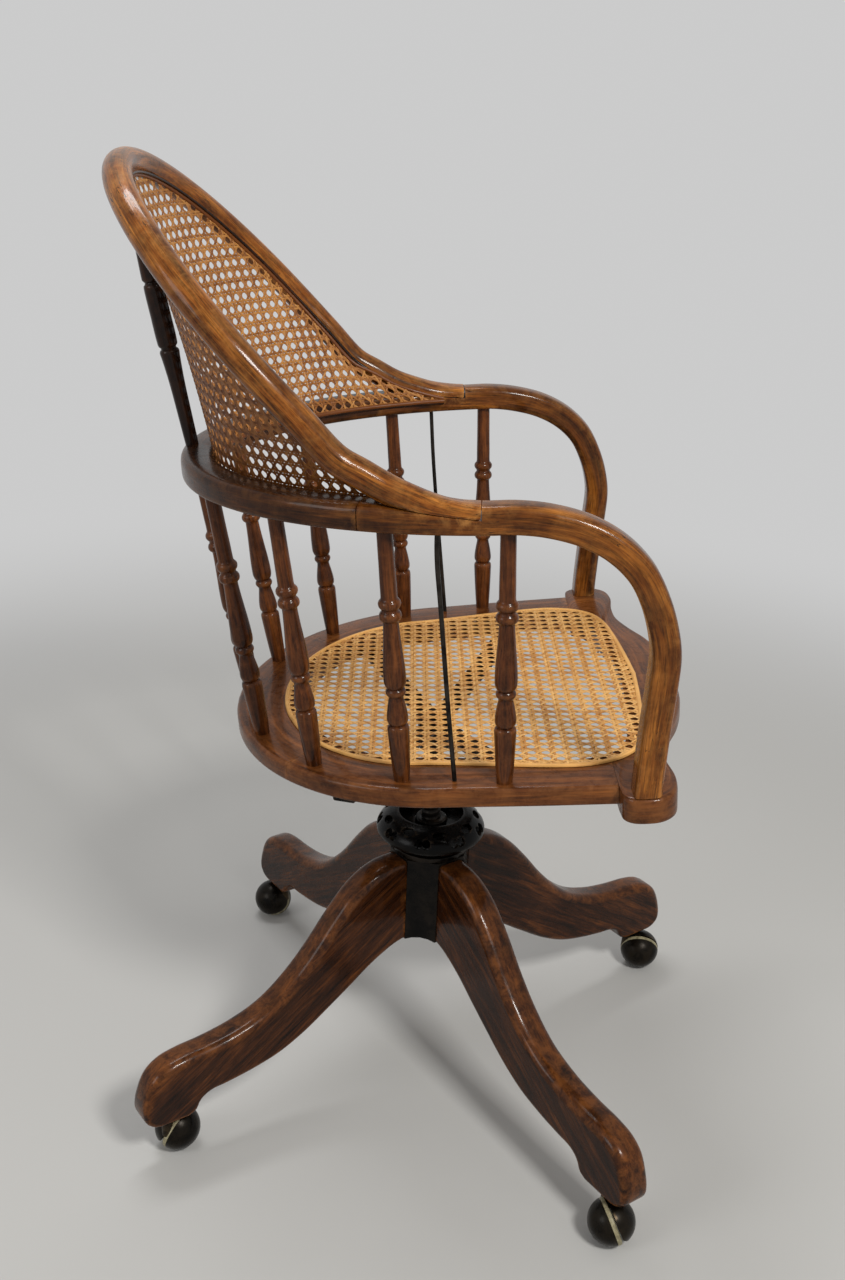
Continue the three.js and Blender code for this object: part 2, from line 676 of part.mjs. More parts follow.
// Where spindles and tie rods stand and where they meet the rail: x as shares of the seat's rear reach,
// y as shares of its half width
const spotShares = [
  { name: 'spindle_1', foot: [0.337, 0.956], head: [0.393, 0.987] },
  { name: 'spindle_2', foot: [-0.128, 0.889], head: [-0.128, 0.92] },
  { name: 'spindle_3', foot: [-0.545, 0.712], head: [-0.608, 0.739] },
  { name: 'spindle_4', foot: [-0.827, 0.398], head: [-0.934, 0.42] },
];
const rearSpotShares = { foot: [-0.918, 0], head: [-1.061, 0] };
const rodSpotShares = { foot: [0.112, 0.925], head: [0.095, 0.956] };

// Wooden rim of the seat
const far = 2 * (seatFront + earHalfWidth);
const scarfPoint = v2(far * Math.cos(scarfAngle), far * Math.sin(scarfAngle));
const rimHole = inset(caneOutline(), caneLap + caneEdgeWidth);

function spindleEnds({ foot, head }, side) {
  const from = v3(foot[0] * seatRear, side * foot[1] * seatHalfWidth, 0);
  const to = v3(head[0] * seatRear, side * head[1] * seatHalfWidth, 0);
  to.z = railHeight - to.x * Math.tan(railDip);
  return { from, to };
}

function eachSide(visit) {
  [['left', 1], ['right', -1]].forEach(([name, side]) => visit(name, side));
}

const spindles = [];
spotShares.forEach(({ name, foot, head }) => eachSide((sideName, side) => {
  spindles.push({ name: `${name}_${sideName}`, ...spindleEnds({ foot, head }, side) });
}));
spindles.push({ name: 'spindle_rear', ...spindleEnds(rearSpotShares, 1) });
const rods = [];
eachSide((sideName, side) => {
  rods.push({ name: `tie_rod_${sideName}`, ...spindleEnds(rodSpotShares, side) });
});

function rimTools() {
  const spindleHoles = spindles.map(({ from, to }) =>
    aim(cylinder(spindleEndRadius + gap, -spindleTenon - gap, overrun, 10), from, to));
  const rodHoles = rods.map(({ from, to }) =>
    aim(cylinder(rodRadius + gap, -rimThickness - overrun, overrun, 8), from, to));
  const screwHoles = ironPads.map(([x, y]) => cylinder(
    woodScrewRadius + gap, -rimThickness - overrun, woodScrewTip + gap, 8).translate(x, y, 0));
  return [...spindleHoles, ...rodHoles, ...screwHoles];
}

function rimGeometry(thickness) {
  return slab(seatOutline(), -thickness, 0, rimEdge, [rimHole]);
}

function rearRimGeometry() {
  const half = gap / 2;
  const region = [
    v2(-half, 0), v2(scarfPoint.x - half, scarfPoint.y), v2(-far, scarfPoint.y),
    v2(-far, -scarfPoint.y), v2(scarfPoint.x - half, -scarfPoint.y),
  ];
  const rim = common(rimGeometry(rimThickness), slab(region.reverse(), -far, far));
  return cut(rim, ...rimTools());
}

function sideRimGeometry(side) {
  const half = gap / 2;
  const region = [
    v2(half, half), v2(seatJointX - half, half), v2(seatJointX - half, far),
    v2(scarfPoint.x + half, scarfPoint.y),
  ];
  const outline = side > 0 ? region : mirrorY(region);
  return cut(common(rimGeometry(rimThickness), slab(outline, -far, far)), ...rimTools());
}

function frontBoardGeometry() {
  const board = common(
    slab(seatOutline(), -earThickness, 0, earEdge, [rimHole]),
    block(seatJointX + gap / 2, far, -far, far, -far, far),
  );
  const relief = block(0, far, -earInnerHalfWidth, earInnerHalfWidth, -far, -rimThickness);
  const mortises = [1, -1].map((side) => {
    const mortise = cylinder(armTenonRadius + gap, -armTenon - gap, overrun, 12);
    return mortise.translate(armFoot.x, side * armFoot.y, 0);
  });
  return cut(board, relief, ...mortises);
}

function caneGeometry() {
  const outline = inset(caneOutline(), caneEdgeWidth + gap);
  return slab(outline, gap, gap + caneThickness);
}

function caneBindingGeometry() {
  return slab(caneOutline(), gap, gap + bindingHeight, 0, [inset(caneOutline(), caneEdgeWidth)]);
}

// Turned spindles: radius and height as shares of the largest radius and of the length
const spindleShares = [
  [0.96, 0.2], [0.96, 0.225], [0.76, 0.238], [0.94, 0.252], [0.9, 0.285], [0.66, 0.35],
  [0.9, 0.371], [0.76, 0.386], [1.0, 0.415], [0.94, 0.48], [0.74, 0.6], [0.7, 0.652], [1.0, 0.672],
  [0.78, 0.697], [1.0, 0.719], [0.74, 0.742], [0.7, 0.86],
];
function turnedGeometry(shares, radius, length, endRadius, tenon, sides) {
  const profile = shares.map(([r, z]) => [r * radius, z * length]);
  return lathe([
    [0, -tenon], [endRadius, -tenon], [endRadius, 0], ...profile,
    [endRadius, length], [endRadius, length + tenon], [0, length + tenon],
  ], sides);
}

function spindleGeometry({ from, to }) {
  const turned = turnedGeometry(
    spindleShares, spindleRadius, from.distanceTo(to), spindleEndRadius, spindleTenon, 10);
  return aim(turned, from, to);
}

function rodGeometry({ from, to }) {
  const length = from.distanceTo(to);
  const bottom = -rimThickness - 2 * gap;
  const rod = lathe([
    [0, bottom - rodCollarHeight], [rodCollarRadius, bottom - rodCollarHeight],
    [rodCollarRadius, bottom], [rodRadius, bottom],
    [rodRadius, length + spindleTenon], [0, length + spindleTenon],
  ], 8);
  return aim(rod, from, to);
}

// Rear rail, in a frame whose floor is the rail's underside
const railFrame = new THREE.Matrix4()
  .makeTranslation(0, 0, railHeight)
  .multiply(new THREE.Matrix4().makeRotationY(railDip));

function railArc(offset, endX) {
  const radiusX = railRear + railCurveEnd - offset;
  const radiusY = railHalfWidth - offset;
  const last = Math.acos((railCurveEnd - endX) / radiusX);
  const points = [];
  for (let i = 0; i <= 24; i += 1) {
    const angle = last * (1 - i / 12);
    points.push(v2(railCurveEnd - radiusX * Math.cos(angle), radiusY * Math.sin(angle)));
  }
  return points;
}

function upperHoles() {
  const spindleHoles = spindles.map(({ from, to }) => {
    const length = from.distanceTo(to);
    const end = length + spindleTenon + gap;
    return aim(cylinder(spindleEndRadius + gap, length - overrun, end, 10), from, to);
  });
  const rodHoles = rods.map(({ from, to }) => {
    const length = from.distanceTo(to);
    return aim(cylinder(rodRadius + gap, length - overrun, length + spindleTenon + gap, 8), from, to);
  });
  const postHole = aim(cylinder(postEndRadius + gap, -postTenon - gap, overrun, 10), postFrom, postTo);
  return [...spindleHoles, ...rodHoles, postHole];
}

function rearRailGeometry() {
  const endX = railEndX + 2 * overrun;
  const outline = [...railArc(0, endX), ...railArc(railWidth, endX).reverse()];
  const rail = slab(outline, 0, railThickness, railEdge).applyMatrix4(railFrame);
  return cut(common(rail, block(-far, railEndX, -far, far, -far, far)), ...upperHoles());
}

// Arms: the rail's curve carried on, then bent down to the ears
const armFootHalfSpan = earHalfWidth - armFootInset;
const armFrontX = seatFront - armFrontSetback;
const armStart = railEndX - 2 * overrun;
const armSectionShares = [
  [-1, -0.8], [-0.84, -1], [0.84, -1], [1, -0.8], [1, 0.35], [0.88, 0.72], [0.58, 0.96],
  [0, 1], [-0.58, 0.96], [-0.88, 0.72], [-1, 0.35],
];
// Along the bend: share of the way forward, share of the height, share of the way outward
const armBendShares = [
  [0.218, 0.984, 0.04], [0.469, 0.945, 0.14], [0.678, 0.883, 0.25], [0.837, 0.798, 0.38],
  [0.937, 0.688, 0.52], [0.987, 0.587, 0.64], [1, 0.506, 0.73], [0.971, 0.385, 0.82],
  [0.921, 0.223, 0.92], [0.87, 0.02, 1], [0.862, -0.04, 1],
];
const armMiddle = (x) => {
  const radiusX = railRear + railCurveEnd - railWidth / 2;
  const radiusY = railHalfWidth - railWidth / 2;
  const run = (x - railCurveEnd) / radiusX;
  return radiusY * Math.sqrt(1 - run * run);
};
const railMiddleZ = (x) => railHeight + railThickness / 2 - x * Math.tan(railDip);
const bendPoint = ([forward, height, outward]) => v3(
  railCurveEnd + forward * (armFrontX - railCurveEnd),
  armMiddle(railCurveEnd) + outward * (armFootHalfSpan - armMiddle(railCurveEnd)),
  height * railMiddleZ(railCurveEnd),
);
const armFoot = bendPoint(armBendShares[armBendShares.length - 2]);

const armSteps = 22;
function armGeometry(side) {
  const points = [];
  for (let i = 0; i <= 4; i += 1) {
    const x = armStart + (i / 4) * (railCurveEnd - armStart);
    points.push(v3(x, armMiddle(x), railMiddleZ(x)));
  }
  const curve = new THREE.CatmullRomCurve3([...points, ...armBendShares.map(bendPoint)]);
  const rings = [];
  for (let i = 0; i <= armSteps; i += 1) {
    const middle = curve.getPointAt(i / armSteps);
    const along = curve.getTangentAt(i / armSteps);
    const across = v3(0, 1, 0).addScaledVector(along, -along.y).normalize();
    const out = along.clone().cross(across);
    rings.push(armSectionShares.map(([w, u]) => middle.clone()
      .addScaledVector(across, (w * armWidth) / 2)
      .addScaledVector(out, (u * armThickness) / 2)));
  }
  const space = block(railEndX + gap, far, 0, far, gap, far);
  const bar = common(loft(rings), space);
  const tenon = cylinder(armTenonRadius, -armTenon, armThickness, 12).translate(armFoot.x, armFoot.y, 0);
  const arm = cut(join(bar, tenon), seamTool(gap));
  const placed = side > 0 ? arm : mirrorSide(arm);
  return cut(placed, ...upperHoles());
}

function mirrorSide(geometry) {
  const mirrored = geometry.clone().scale(1, -1, 1);
  const index = Array.from(mirrored.index.array);
  mirrored.setIndex(index.reverse());
  return mirrored;
}

// The hoop's foot lies in a long sloping seat cut in the top of each arm
function seamTool(clearance) {
  const rearTop = railMiddleZ(railEndX) + railThickness / 2;
  const frontTop = railMiddleZ(seamEndX) + railThickness / 2;
  const shape = [
    v2(-far, rearTop), v2(railEndX, rearTop), v2(seamEndX, frontTop - seamDepth),
    v2(seamEndX, far), v2(-far, far),
  ];
  const tool = slab(shape, -far, far).rotateX(Math.PI / 2);
  return tool.translate(clearance ? 0 : -gap, 0, clearance ? 0 : gap);
}

// Hoop: a round top in a leaning plane, straight sides, and feet that curve forward onto the arms
const hoopNormal = v3(Math.cos(hoopLean), 0, Math.sin(hoopLean));
const hoopCentreZ = hoopTop - hoopHalfWidth * Math.cos(hoopLean);
const hoopPoint = (y, rise) => v3(
  -hoopShoulder - rise * Math.sin(hoopLean), y, hoopCentreZ + rise * Math.cos(hoopLean));
// Along the foot: shares of the way forward, down and outward
const hoopFootShares = [
  [0.174, 0.267, 0.05], [0.345, 0.52, 0.19], [0.532, 0.724, 0.5], [0.702, 0.876, 0.77],
  [0.872, 0.962, 0.94], [1.04, 1, 1],
];

function hoopHalf(offset, footShares) {
  const radius = hoopHalfWidth - offset;
  const points = [];
  for (let i = 0; i <= 8; i += 1) {
    const angle = (i / 8) * (Math.PI / 2);
    points.push(hoopPoint(radius * Math.sin(angle), radius * Math.cos(angle)));
  }
  const heel = hoopPoint(radius, -hoopStraight);
  const end = v3(seamEndX, armMiddle(seamEndX) - offset, railMiddleZ(seamEndX));
  points.push(hoopPoint(radius, -hoopStraight / 2), heel);
  footShares.forEach(([forward, down, outward]) => points.push(v3(
    heel.x + forward * (end.x - heel.x),
    heel.y + outward * (end.y - heel.y),
    heel.z + down * (end.z - heel.z),
  )));
  return points;
}

const hoopRoundShare = 0.84; // past this share of each half the hoop widens to the arm
function hoopGeometry() {
  const half = hoopHalf(0, hoopFootShares);
  const mirrored = half.slice(1).reverse().map((p) => v3(p.x, -p.y, p.z));
  const curve = new THREE.CatmullRomCurve3([...mirrored, ...half]);
  const steps = 48;
  const rings = [];
  for (let i = 0; i <= steps; i += 1) {
    const middle = curve.getPointAt(i / steps);
    const along = curve.getTangentAt(i / steps);
    const up = hoopNormal.clone().addScaledVector(along, -hoopNormal.dot(along)).normalize();
    const across = along.clone().cross(up);
    const footShare = THREE.MathUtils.smoothstep(Math.abs(2 * (i / steps) - 1), hoopRoundShare, 1);
    const width = THREE.MathUtils.lerp(hoopRadius, armWidth / 2, footShare);
    const ring = [];
    for (let j = 0; j < 10; j += 1) {
      const angle = (j / 10) * 2 * Math.PI;
      ring.push(middle.clone()
        .addScaledVector(up, hoopRadius * Math.cos(angle))
        .addScaledVector(across, width * Math.sin(angle)));
    }
    rings.push(ring);
  }
  const holeTop = postLength + postTenon + gap;
  const postHole = aim(
    cylinder(postEndRadius + gap, postLength - overrun, holeTop, 10), postFrom, postTo);
  return cut(common(loft(rings), seamTool(0)), postHole);
}

// Post behind the cane, from the rail up to the hoop
const postFrom = v3(-postFoot, 0, railMiddleZ(-postFoot) + railThickness / 2);
const hoopApex = hoopPoint(0, hoopHalfWidth);
const postLength = postFrom.distanceTo(hoopApex) - hoopRadius;
const postTo = hoopApex;
const postShares = [
  [0.7, 0.1], [0.78, 0.25], [0.96, 0.345], [0.98, 0.365], [0.76, 0.377], [0.98, 0.39],
  [1, 0.42], [1, 0.57], [0.98, 0.61], [0.76, 0.622], [0.98, 0.635], [0.94, 0.68], [0.76, 0.85],
];
function postGeometry() {
  const turned = turnedGeometry(postShares, postRadius, postLength, postEndRadius, postTenon, 10);
  return aim(turned, postFrom, postTo);
}

// Back cane: a sheet from the rail's inner top edge up to the inside of the hoop
const backCaneFootShares = [[0.174, 0.267, 0.05], [0.37, 0.56, 0.1]];
function backCaneGeometry() {
  const radiusX = railRear + railCurveEnd - backCaneSeat;
  const last = Math.acos((railCurveEnd - backCaneEnd) / radiusX);
  const ahead = hoopNormal.clone().multiplyScalar(backCaneAhead);
  const upperHalf = hoopHalf(hoopRadius + backCaneLift, backCaneFootShares).map((p) => p.add(ahead));
  const lowerHalf = [];
  for (let i = 0; i <= 12; i += 1) {
    const angle = (i / 12) * last;
    const x = railCurveEnd - radiusX * Math.cos(angle);
    const z = railMiddleZ(x) + railThickness / 2 + backCaneLift;
    lowerHalf.push(v3(x, backCaneCorner * Math.sin(angle), z));
  }
  const whole = (half) => [...half.slice(1).reverse().map((p) => v3(p.x, -p.y, p.z)), ...half];
  const upper = new THREE.CatmullRomCurve3(whole(upperHalf));
  const lower = new THREE.CatmullRomCurve3(whole(lowerHalf));
  const steps = 28;
  const rows = 4;
  const rings = [];
  for (let i = 0; i <= steps; i += 1) {
    const share = i / steps;
    const from = lower.getPointAt(share);
    const to = upper.getPointAt(share);
    const along = lower.getTangentAt(share);
    const normal = to.clone().sub(from).cross(along).normalize();
    const front = [];
    const back = [];
    for (let j = 0; j <= rows; j += 1) {
      const rise = j / rows;
      const bulge = backCaneBulge * 4 * rise * (1 - rise) * Math.sin(Math.PI * share);
      const point = from.clone().lerp(to, rise).addScaledVector(normal, -bulge);
      front.push(point.clone().addScaledVector(normal, backCaneThickness / 2));
      back.push(point.clone().addScaledVector(normal, -backCaneThickness / 2));
    }
    rings.push([...front, ...back.reverse()]);
  }
  return loft(rings);
}

// Seat assembly
place(seat, 'seat_iron', seatIronGeometry(), blackIron);
ironPads.forEach(([x, y], i) => {
  const screw = place(seat, `iron_screw_${i + 1}`, woodScrewGeometry(), steel);
  screw.position.set(x, y, 0);
});
place(seat, 'rim_rear', rearRimGeometry(), seatWood);
eachSide((sideName, side) => {
  place(seat, `rim_${sideName}`, sideRimGeometry(side), seatWood);
  place(seat, `arm_${sideName}`, armGeometry(side), armWood);
});
place(seat, 'front_board', frontBoardGeometry(), seatWood);
place(seat, 'seat_cane', caneGeometry(), seatCaneFinish);
place(seat, 'seat_cane_binding', caneBindingGeometry(), seatCaneFinish);
spindles.forEach((spindle) => place(seat, spindle.name, spindleGeometry(spindle), turnedWood));
rods.forEach((rod) => place(seat, rod.name, rodGeometry(rod), steel));
place(seat, 'rear_rail', rearRailGeometry(), darkWood);
place(seat, 'back_hoop', hoopGeometry(), armWood);
place(seat, 'back_post', postGeometry(), darkWood);
place(seat, 'back_cane', backCaneGeometry(), backCaneFinish);

// The origin goes to the middle of the footprint
const extent = new THREE.Box3().setFromObject(chair, true);
chair.position.x = -(extent.min.x + extent.max.x) / 2;

export default chair;
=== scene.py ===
import json
import math

import bmesh
import bpy
import numpy as np
from mathutils import Matrix, Vector


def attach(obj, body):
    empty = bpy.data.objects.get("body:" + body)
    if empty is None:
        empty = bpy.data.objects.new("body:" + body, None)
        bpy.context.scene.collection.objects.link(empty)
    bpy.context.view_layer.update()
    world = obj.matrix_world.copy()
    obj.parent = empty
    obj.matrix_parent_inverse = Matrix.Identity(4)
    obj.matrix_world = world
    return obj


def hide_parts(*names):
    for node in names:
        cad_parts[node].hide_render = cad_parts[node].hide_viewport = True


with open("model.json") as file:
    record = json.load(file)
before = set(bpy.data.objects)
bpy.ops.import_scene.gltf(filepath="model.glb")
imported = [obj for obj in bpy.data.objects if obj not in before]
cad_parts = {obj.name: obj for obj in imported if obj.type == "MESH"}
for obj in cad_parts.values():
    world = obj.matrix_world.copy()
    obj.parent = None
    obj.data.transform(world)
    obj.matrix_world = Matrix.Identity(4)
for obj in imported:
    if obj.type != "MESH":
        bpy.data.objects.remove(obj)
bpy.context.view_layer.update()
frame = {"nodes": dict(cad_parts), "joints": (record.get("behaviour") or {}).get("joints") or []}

# Lengths below are in millimetres, and MM brings them to metres
MM = 0.001
joints = {j["name"]: j for j in frame["joints"]}
COLUMN_X = joints["seat_swivel"]["pos_m"][0] / MM

# Where the photograph was taken from, seen from the column on the floor
CAMERA_AT = Vector((-44.6 + COLUMN_X, -1310.3, 1050.3))
CAMERA_YAW = 0.0175
CAMERA_PITCH = 0.3917
CAMERA_ROLL = -0.0396
FOCAL_PIXELS = 1394.3
PHOTO_WIDTH = 845
PHOTO_HEIGHT = 1280
PRINCIPAL_X = 417.7
PRINCIPAL_Y = 640.7
SENSOR = 36

# Chair sizes, as in the model
GAP = 0.3
SEAT_SLOPE = math.radians(5.4)
SEAT_HEIGHT = 460
SLOPE_PIVOT_DROP = 100
RIM_THICKNESS = 19
EAR_THICKNESS = 25
EAR_INNER = 202
SEAT_REAR = 196
SEAT_HALF = 226
SEAT_CURVE_END = 20
SEAT_JOINT_X = 165
SEAT_JOINT_HALF = 235
SEAT_FRONT = 253
EAR_HALF = 262
SCARF_ANGLE = math.radians(130)
CANE_REAR = 147
CANE_HALF = 177
CANE_FRONT = 214
CANE_FRONT_HALF = 196
CANE_LAP = 16
RAIL_HEIGHT = 237
RAIL_DIP = math.radians(1.6)
RAIL_THICKNESS = 24.5
RAIL_WIDTH = 32
RAIL_REAR = 222
RAIL_HALF = 240
RAIL_CURVE_END = 84
RAIL_END_X = -42
ARM_WIDTH = 30
ARM_THICKNESS = 25
ARM_FRONT_X = 203.5
ARM_FOOT_HALF_SPAN = 246
SEAM_END_X = 56
SEAM_DEPTH = 11
HOOP_RADIUS = 13
HOOP_HALF = 207
HOOP_LEAN = math.radians(38.8)
HOOP_TOP = 526
HOOP_SHOULDER = 113
HOOP_STRAIGHT = 84
POST_RADIUS = 9.5
POST_FOOT = 212
SPINDLE_RADIUS = 10
LEG_AZIMUTH = math.radians(34.5)
LEG_REACH = 355
LEG_PEAK = 270
LEG_THICKNESS = 32
LEG_ROOT = 38.5
PAD_HEIGHT = 51.5
REAR_RIGHT_TRIM = 8
BALL_RADIUS = 23.5
CASTER_TRAIL = 17
CASTER_CIRCLE = 317
WHEEL_AXIS_DROP = math.radians(20)
HOOD_AXIS_RISE = math.radians(48)

# Frames
TO_METRES = Matrix.Scale(MM, 4)
to_row = Matrix.Translation((COLUMN_X, 0, 0))
to_seat = (
    to_row
    @ Matrix.Translation((0, 0, SEAT_HEIGHT - SLOPE_PIVOT_DROP))
    @ Matrix.Rotation(-SEAT_SLOPE, 4, "Y")
    @ Matrix.Translation((0, 0, SLOPE_PIVOT_DROP))
)


# Curves
def smooth_curve(points, count):
    """A smooth curve through the points, as count + 1 points evenly spaced along it."""
    pts = [Vector(p) for p in points]
    ends = [2 * pts[0] - pts[1]] + pts + [2 * pts[-1] - pts[-2]]
    dense = []
    steps = 16
    for i in range(1, len(ends) - 2):
        p0, p1, p2, p3 = ends[i - 1:i + 3]
        t0 = 0
        t1 = t0 + max((p1 - p0).length, 1e-6) ** 0.5
        t2 = t1 + max((p2 - p1).length, 1e-6) ** 0.5
        t3 = t2 + max((p3 - p2).length, 1e-6) ** 0.5
        for k in range(steps):
            t = t1 + (t2 - t1) * k / steps
            a1 = p0 * ((t1 - t) / (t1 - t0)) + p1 * ((t - t0) / (t1 - t0))
            a2 = p1 * ((t2 - t) / (t2 - t1)) + p2 * ((t - t1) / (t2 - t1))
            a3 = p2 * ((t3 - t) / (t3 - t2)) + p3 * ((t - t2) / (t3 - t2))
            b1 = a1 * ((t2 - t) / (t2 - t0)) + a2 * ((t - t0) / (t2 - t0))
            b2 = a2 * ((t3 - t) / (t3 - t1)) + a3 * ((t - t1) / (t3 - t1))
            dense.append(b1 * ((t2 - t) / (t2 - t1)) + b2 * ((t - t1) / (t2 - t1)))
    dense.append(pts[-1])
    return resample(dense, count)


def resample(points, count):
    """The same line as count + 1 points evenly spaced along it."""
    lengths = [0]
    for a, b in zip(points, points[1:]):
        lengths.append(lengths[-1] + (b - a).length)
    out = []
    k = 0
    for i in range(count + 1):
        want = lengths[-1] * i / count
        while k < len(points) - 2 and lengths[k + 1] < want:
            k += 1
        span = max(lengths[k + 1] - lengths[k], 1e-9)
        out.append(points[k].lerp(points[k + 1], min(max((want - lengths[k]) / span, 0), 1)))
    return out


def mirrored(half):
    """The whole line of a half that starts on the middle plane and runs to +Y."""
    return [Vector((p.x, -p.y, p.z)) for p in reversed(half[1:])] + list(half)


def keep_part(points, test):
    """The stretch of a line where test is above zero, with its ends cut exactly."""
    out = []
    for a, b in zip(points, points[1:]):
        fa, fb = test(a), test(b)
        if fa > 0 and not out:
            out.append(a)
        if (fa > 0) != (fb > 0):
            out.append(a.lerp(b, fa / (fa - fb)))
        if fb > 0:
            out.append(b)
    return out


def heading(line, i):
    """Which way a line runs at its point i."""
    return (line[min(i + 1, len(line) - 1)] - line[max(i - 1, 0)]).normalized()


def smoothstep(value, low, high):
    t = min(max((value - low) / (high - low), 0), 1)
    return t * t * (3 - 2 * t)


# Meshes
SIDES = (("left", 1), ("right", -1))
finishes = {}


def add_object(name, data):
    thing = bpy.data.objects.new(name, data)
    bpy.context.scene.collection.objects.link(thing)
    return thing


def shade(mesh, angle):
    """Smooth shading, broken where faces meet at more than the angle in degrees."""
    mesh.shade_smooth()
    mesh.set_sharp_from_angle(angle=math.radians(angle))


def move(bm, matrix):
    bmesh.ops.transform(bm, matrix=matrix, verts=bm.verts)


def hand_over(piece, nodes, slot, body):
    """Hides the CAD nodes a piece stands for and puts it on the body it rides on. slot is not used.
    """
    if nodes:
        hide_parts(*nodes)
    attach(piece, body)


def finish_piece(name, bm, finish, nodes=(), body="seat", matrix=to_seat, angle=35, edge=0,
                 slot=None):
    """Writes a bmesh made in millimetres as one piece, with its hard edges rounded to a width."""
    mesh = bpy.data.meshes.new(name)
    move(bm, TO_METRES @ matrix)
    bmesh.ops.recalc_face_normals(bm, faces=bm.faces[:])
    bm.to_mesh(mesh)
    bm.free()
    shade(mesh, angle)
    material, usual_slot = finishes[finish]
    mesh.materials.append(material)
    piece = add_object(name, mesh)
    if edge:
        round_sharp(piece, edge)
    hand_over(piece, nodes, slot or usual_slot, body)
    return piece


def round_sharp(piece, width, segments=3, angle=30):
    """Rounds a piece's hard edges for good."""
    modifier = piece.modifiers.new("edges", "BEVEL")
    modifier.width = width * MM
    modifier.segments = segments
    modifier.limit_method = "ANGLE"
    modifier.angle_limit = math.radians(angle)
    modifier.harden_normals = False
    apply_modifiers(piece)


def apply_modifiers(piece):
    depsgraph = bpy.context.evaluated_depsgraph_get()
    mesh = bpy.data.meshes.new_from_object(piece.evaluated_get(depsgraph))
    piece.modifiers.clear()
    piece.data = mesh


def cut_out(piece, bm):
    """Cuts a bmesh, already in metres and in its place, out of a piece."""
    mesh = bpy.data.meshes.new("cutter")
    bm.to_mesh(mesh)
    bm.free()
    cutter = add_object("cutter", mesh)
    modifier = piece.modifiers.new("cut", "BOOLEAN")
    modifier.operation = "DIFFERENCE"
    modifier.solver = "EXACT"
    modifier.object = cutter
    apply_modifiers(piece)
    bpy.data.objects.remove(cutter)
    bpy.data.meshes.remove(mesh)


def grain_layer(bm):
    """Holds each vertex's place along, across and up the piece, for the materials."""
    return bm.verts.layers.float_vector.new("grain")


def skin(bm, rings, caps=1):
    """Joins rings of vertices. caps: which way round their ends are closed, or 0 for a loop."""
    sides = len(rings[0])
    for a, b in zip(rings, rings[1:] if caps else rings[1:] + rings[:1]):
        for j in range(sides):
            k = (j + 1) % sides
            bm.faces.new((a[j], a[k], b[k], b[j]))
    if caps:
        bm.faces.new(rings[0][::caps])
        bm.faces.new(rings[-1][::-caps])
    return bm


def sweep(path, reference, section, clamp=None):
    """A closed bar along a path.

    section(share) gives (across, up) pairs, reference(i, tangent) the rough way up, and
    clamp(point, i) the place a point moves to.
    """
    bm = bmesh.new()
    layer = grain_layer(bm)
    rings = []
    along = 0
    for i, middle in enumerate(path):
        tangent = heading(path, i)
        if i:
            along += (middle - path[i - 1]).length
        up = reference(i, tangent)
        up = (up - tangent * up.dot(tangent)).normalized()
        across = tangent.cross(up)
        ring = []
        for w, u in section(i / (len(path) - 1)):
            point = middle + across * w + up * u
            vert = bm.verts.new(clamp(point, i) if clamp else point)
            vert[layer] = Vector((along, w, u))
            ring.append(vert)
        rings.append(ring)
    return skin(bm, rings)


def round_section(rx, ry, count=24):
    turns = [2 * math.pi * k / count for k in range(count)]
    return [(rx * math.cos(a), ry * math.sin(a)) for a in turns]


def soft_box(width, height, radii, steps=5):
    """A rectangle with a radius at each corner: lower left and right, upper right and left."""
    corners = [(-1, -1, math.pi), (1, -1, 1.5 * math.pi), (1, 1, 0), (-1, 1, 0.5 * math.pi)]
    out = []
    for (sx, sy, start), radius in zip(corners, radii):
        cx = sx * (width / 2 - radius)
        cy = sy * (height / 2 - radius)
        for k in range(steps + 1):
            a = start + 0.5 * math.pi * k / steps
            out.append((cx + radius * math.cos(a), cy + radius * math.sin(a)))
    return out


def lathe(profile, sides=40, height=0):
    """A turned solid about Z, raised by height.

    The profile's (radius, z) pairs start and end on the axis, or close on themselves.
    """
    bm = bmesh.new()
    layer = grain_layer(bm)
    rings = []
    for r, z in profile:
        z += height
        ring = []
        for k in range(sides if r > 1e-6 else 1):
            a = 2 * math.pi * k / sides
            vert = bm.verts.new((r * math.cos(a), r * math.sin(a), z))
            vert[layer] = Vector((z, r * math.cos(a), r * math.sin(a)))
            ring.append(vert)
        rings.append(ring)
    pairs = list(zip(rings, rings[1:]))
    if profile[0][0] > 1e-6:
        pairs.append((rings[-1], rings[0]))
    for a, b in pairs:
        for k in range(sides):
            m = (k + 1) % sides
            if len(a) == 1:
                bm.faces.new((a[0], b[m], b[k]))
            elif len(b) == 1:
                bm.faces.new((a[k], a[m], b[0]))
            else:
                bm.faces.new((a[k], a[m], b[m], b[k]))
    return bm


def profile_curve(points, count):
    """Rounds a turned profile into a fine one."""
    line = smooth_curve([(r, z, 0) for r, z in points], count)
    return [(max(p.x, 0), p.y) for p in line]


def band(outer, inner, bottom, radii):
    """A board between two lines, with its top at 0 and its long edges rounded as in soft_box."""
    bm = bmesh.new()
    layer = grain_layer(bm)
    rings = []
    along = 0
    for i, (o, n) in enumerate(zip(outer, inner)):
        if i:
            along += ((o + n) / 2 - (outer[i - 1] + inner[i - 1]) / 2).length
        width = (o - n).length
        low = bottom(i) if callable(bottom) else bottom
        ring = []
        for w, u in soft_box(width, -low, radii, 4):
            point = n.lerp(o, 0.5 + w / width)
            vert = bm.verts.new((point.x, point.y, low / 2 + u))
            vert[layer] = Vector((along, w - width / 2, u))
            ring.append(vert)
        rings.append(ring)
    return skin(bm, rings)


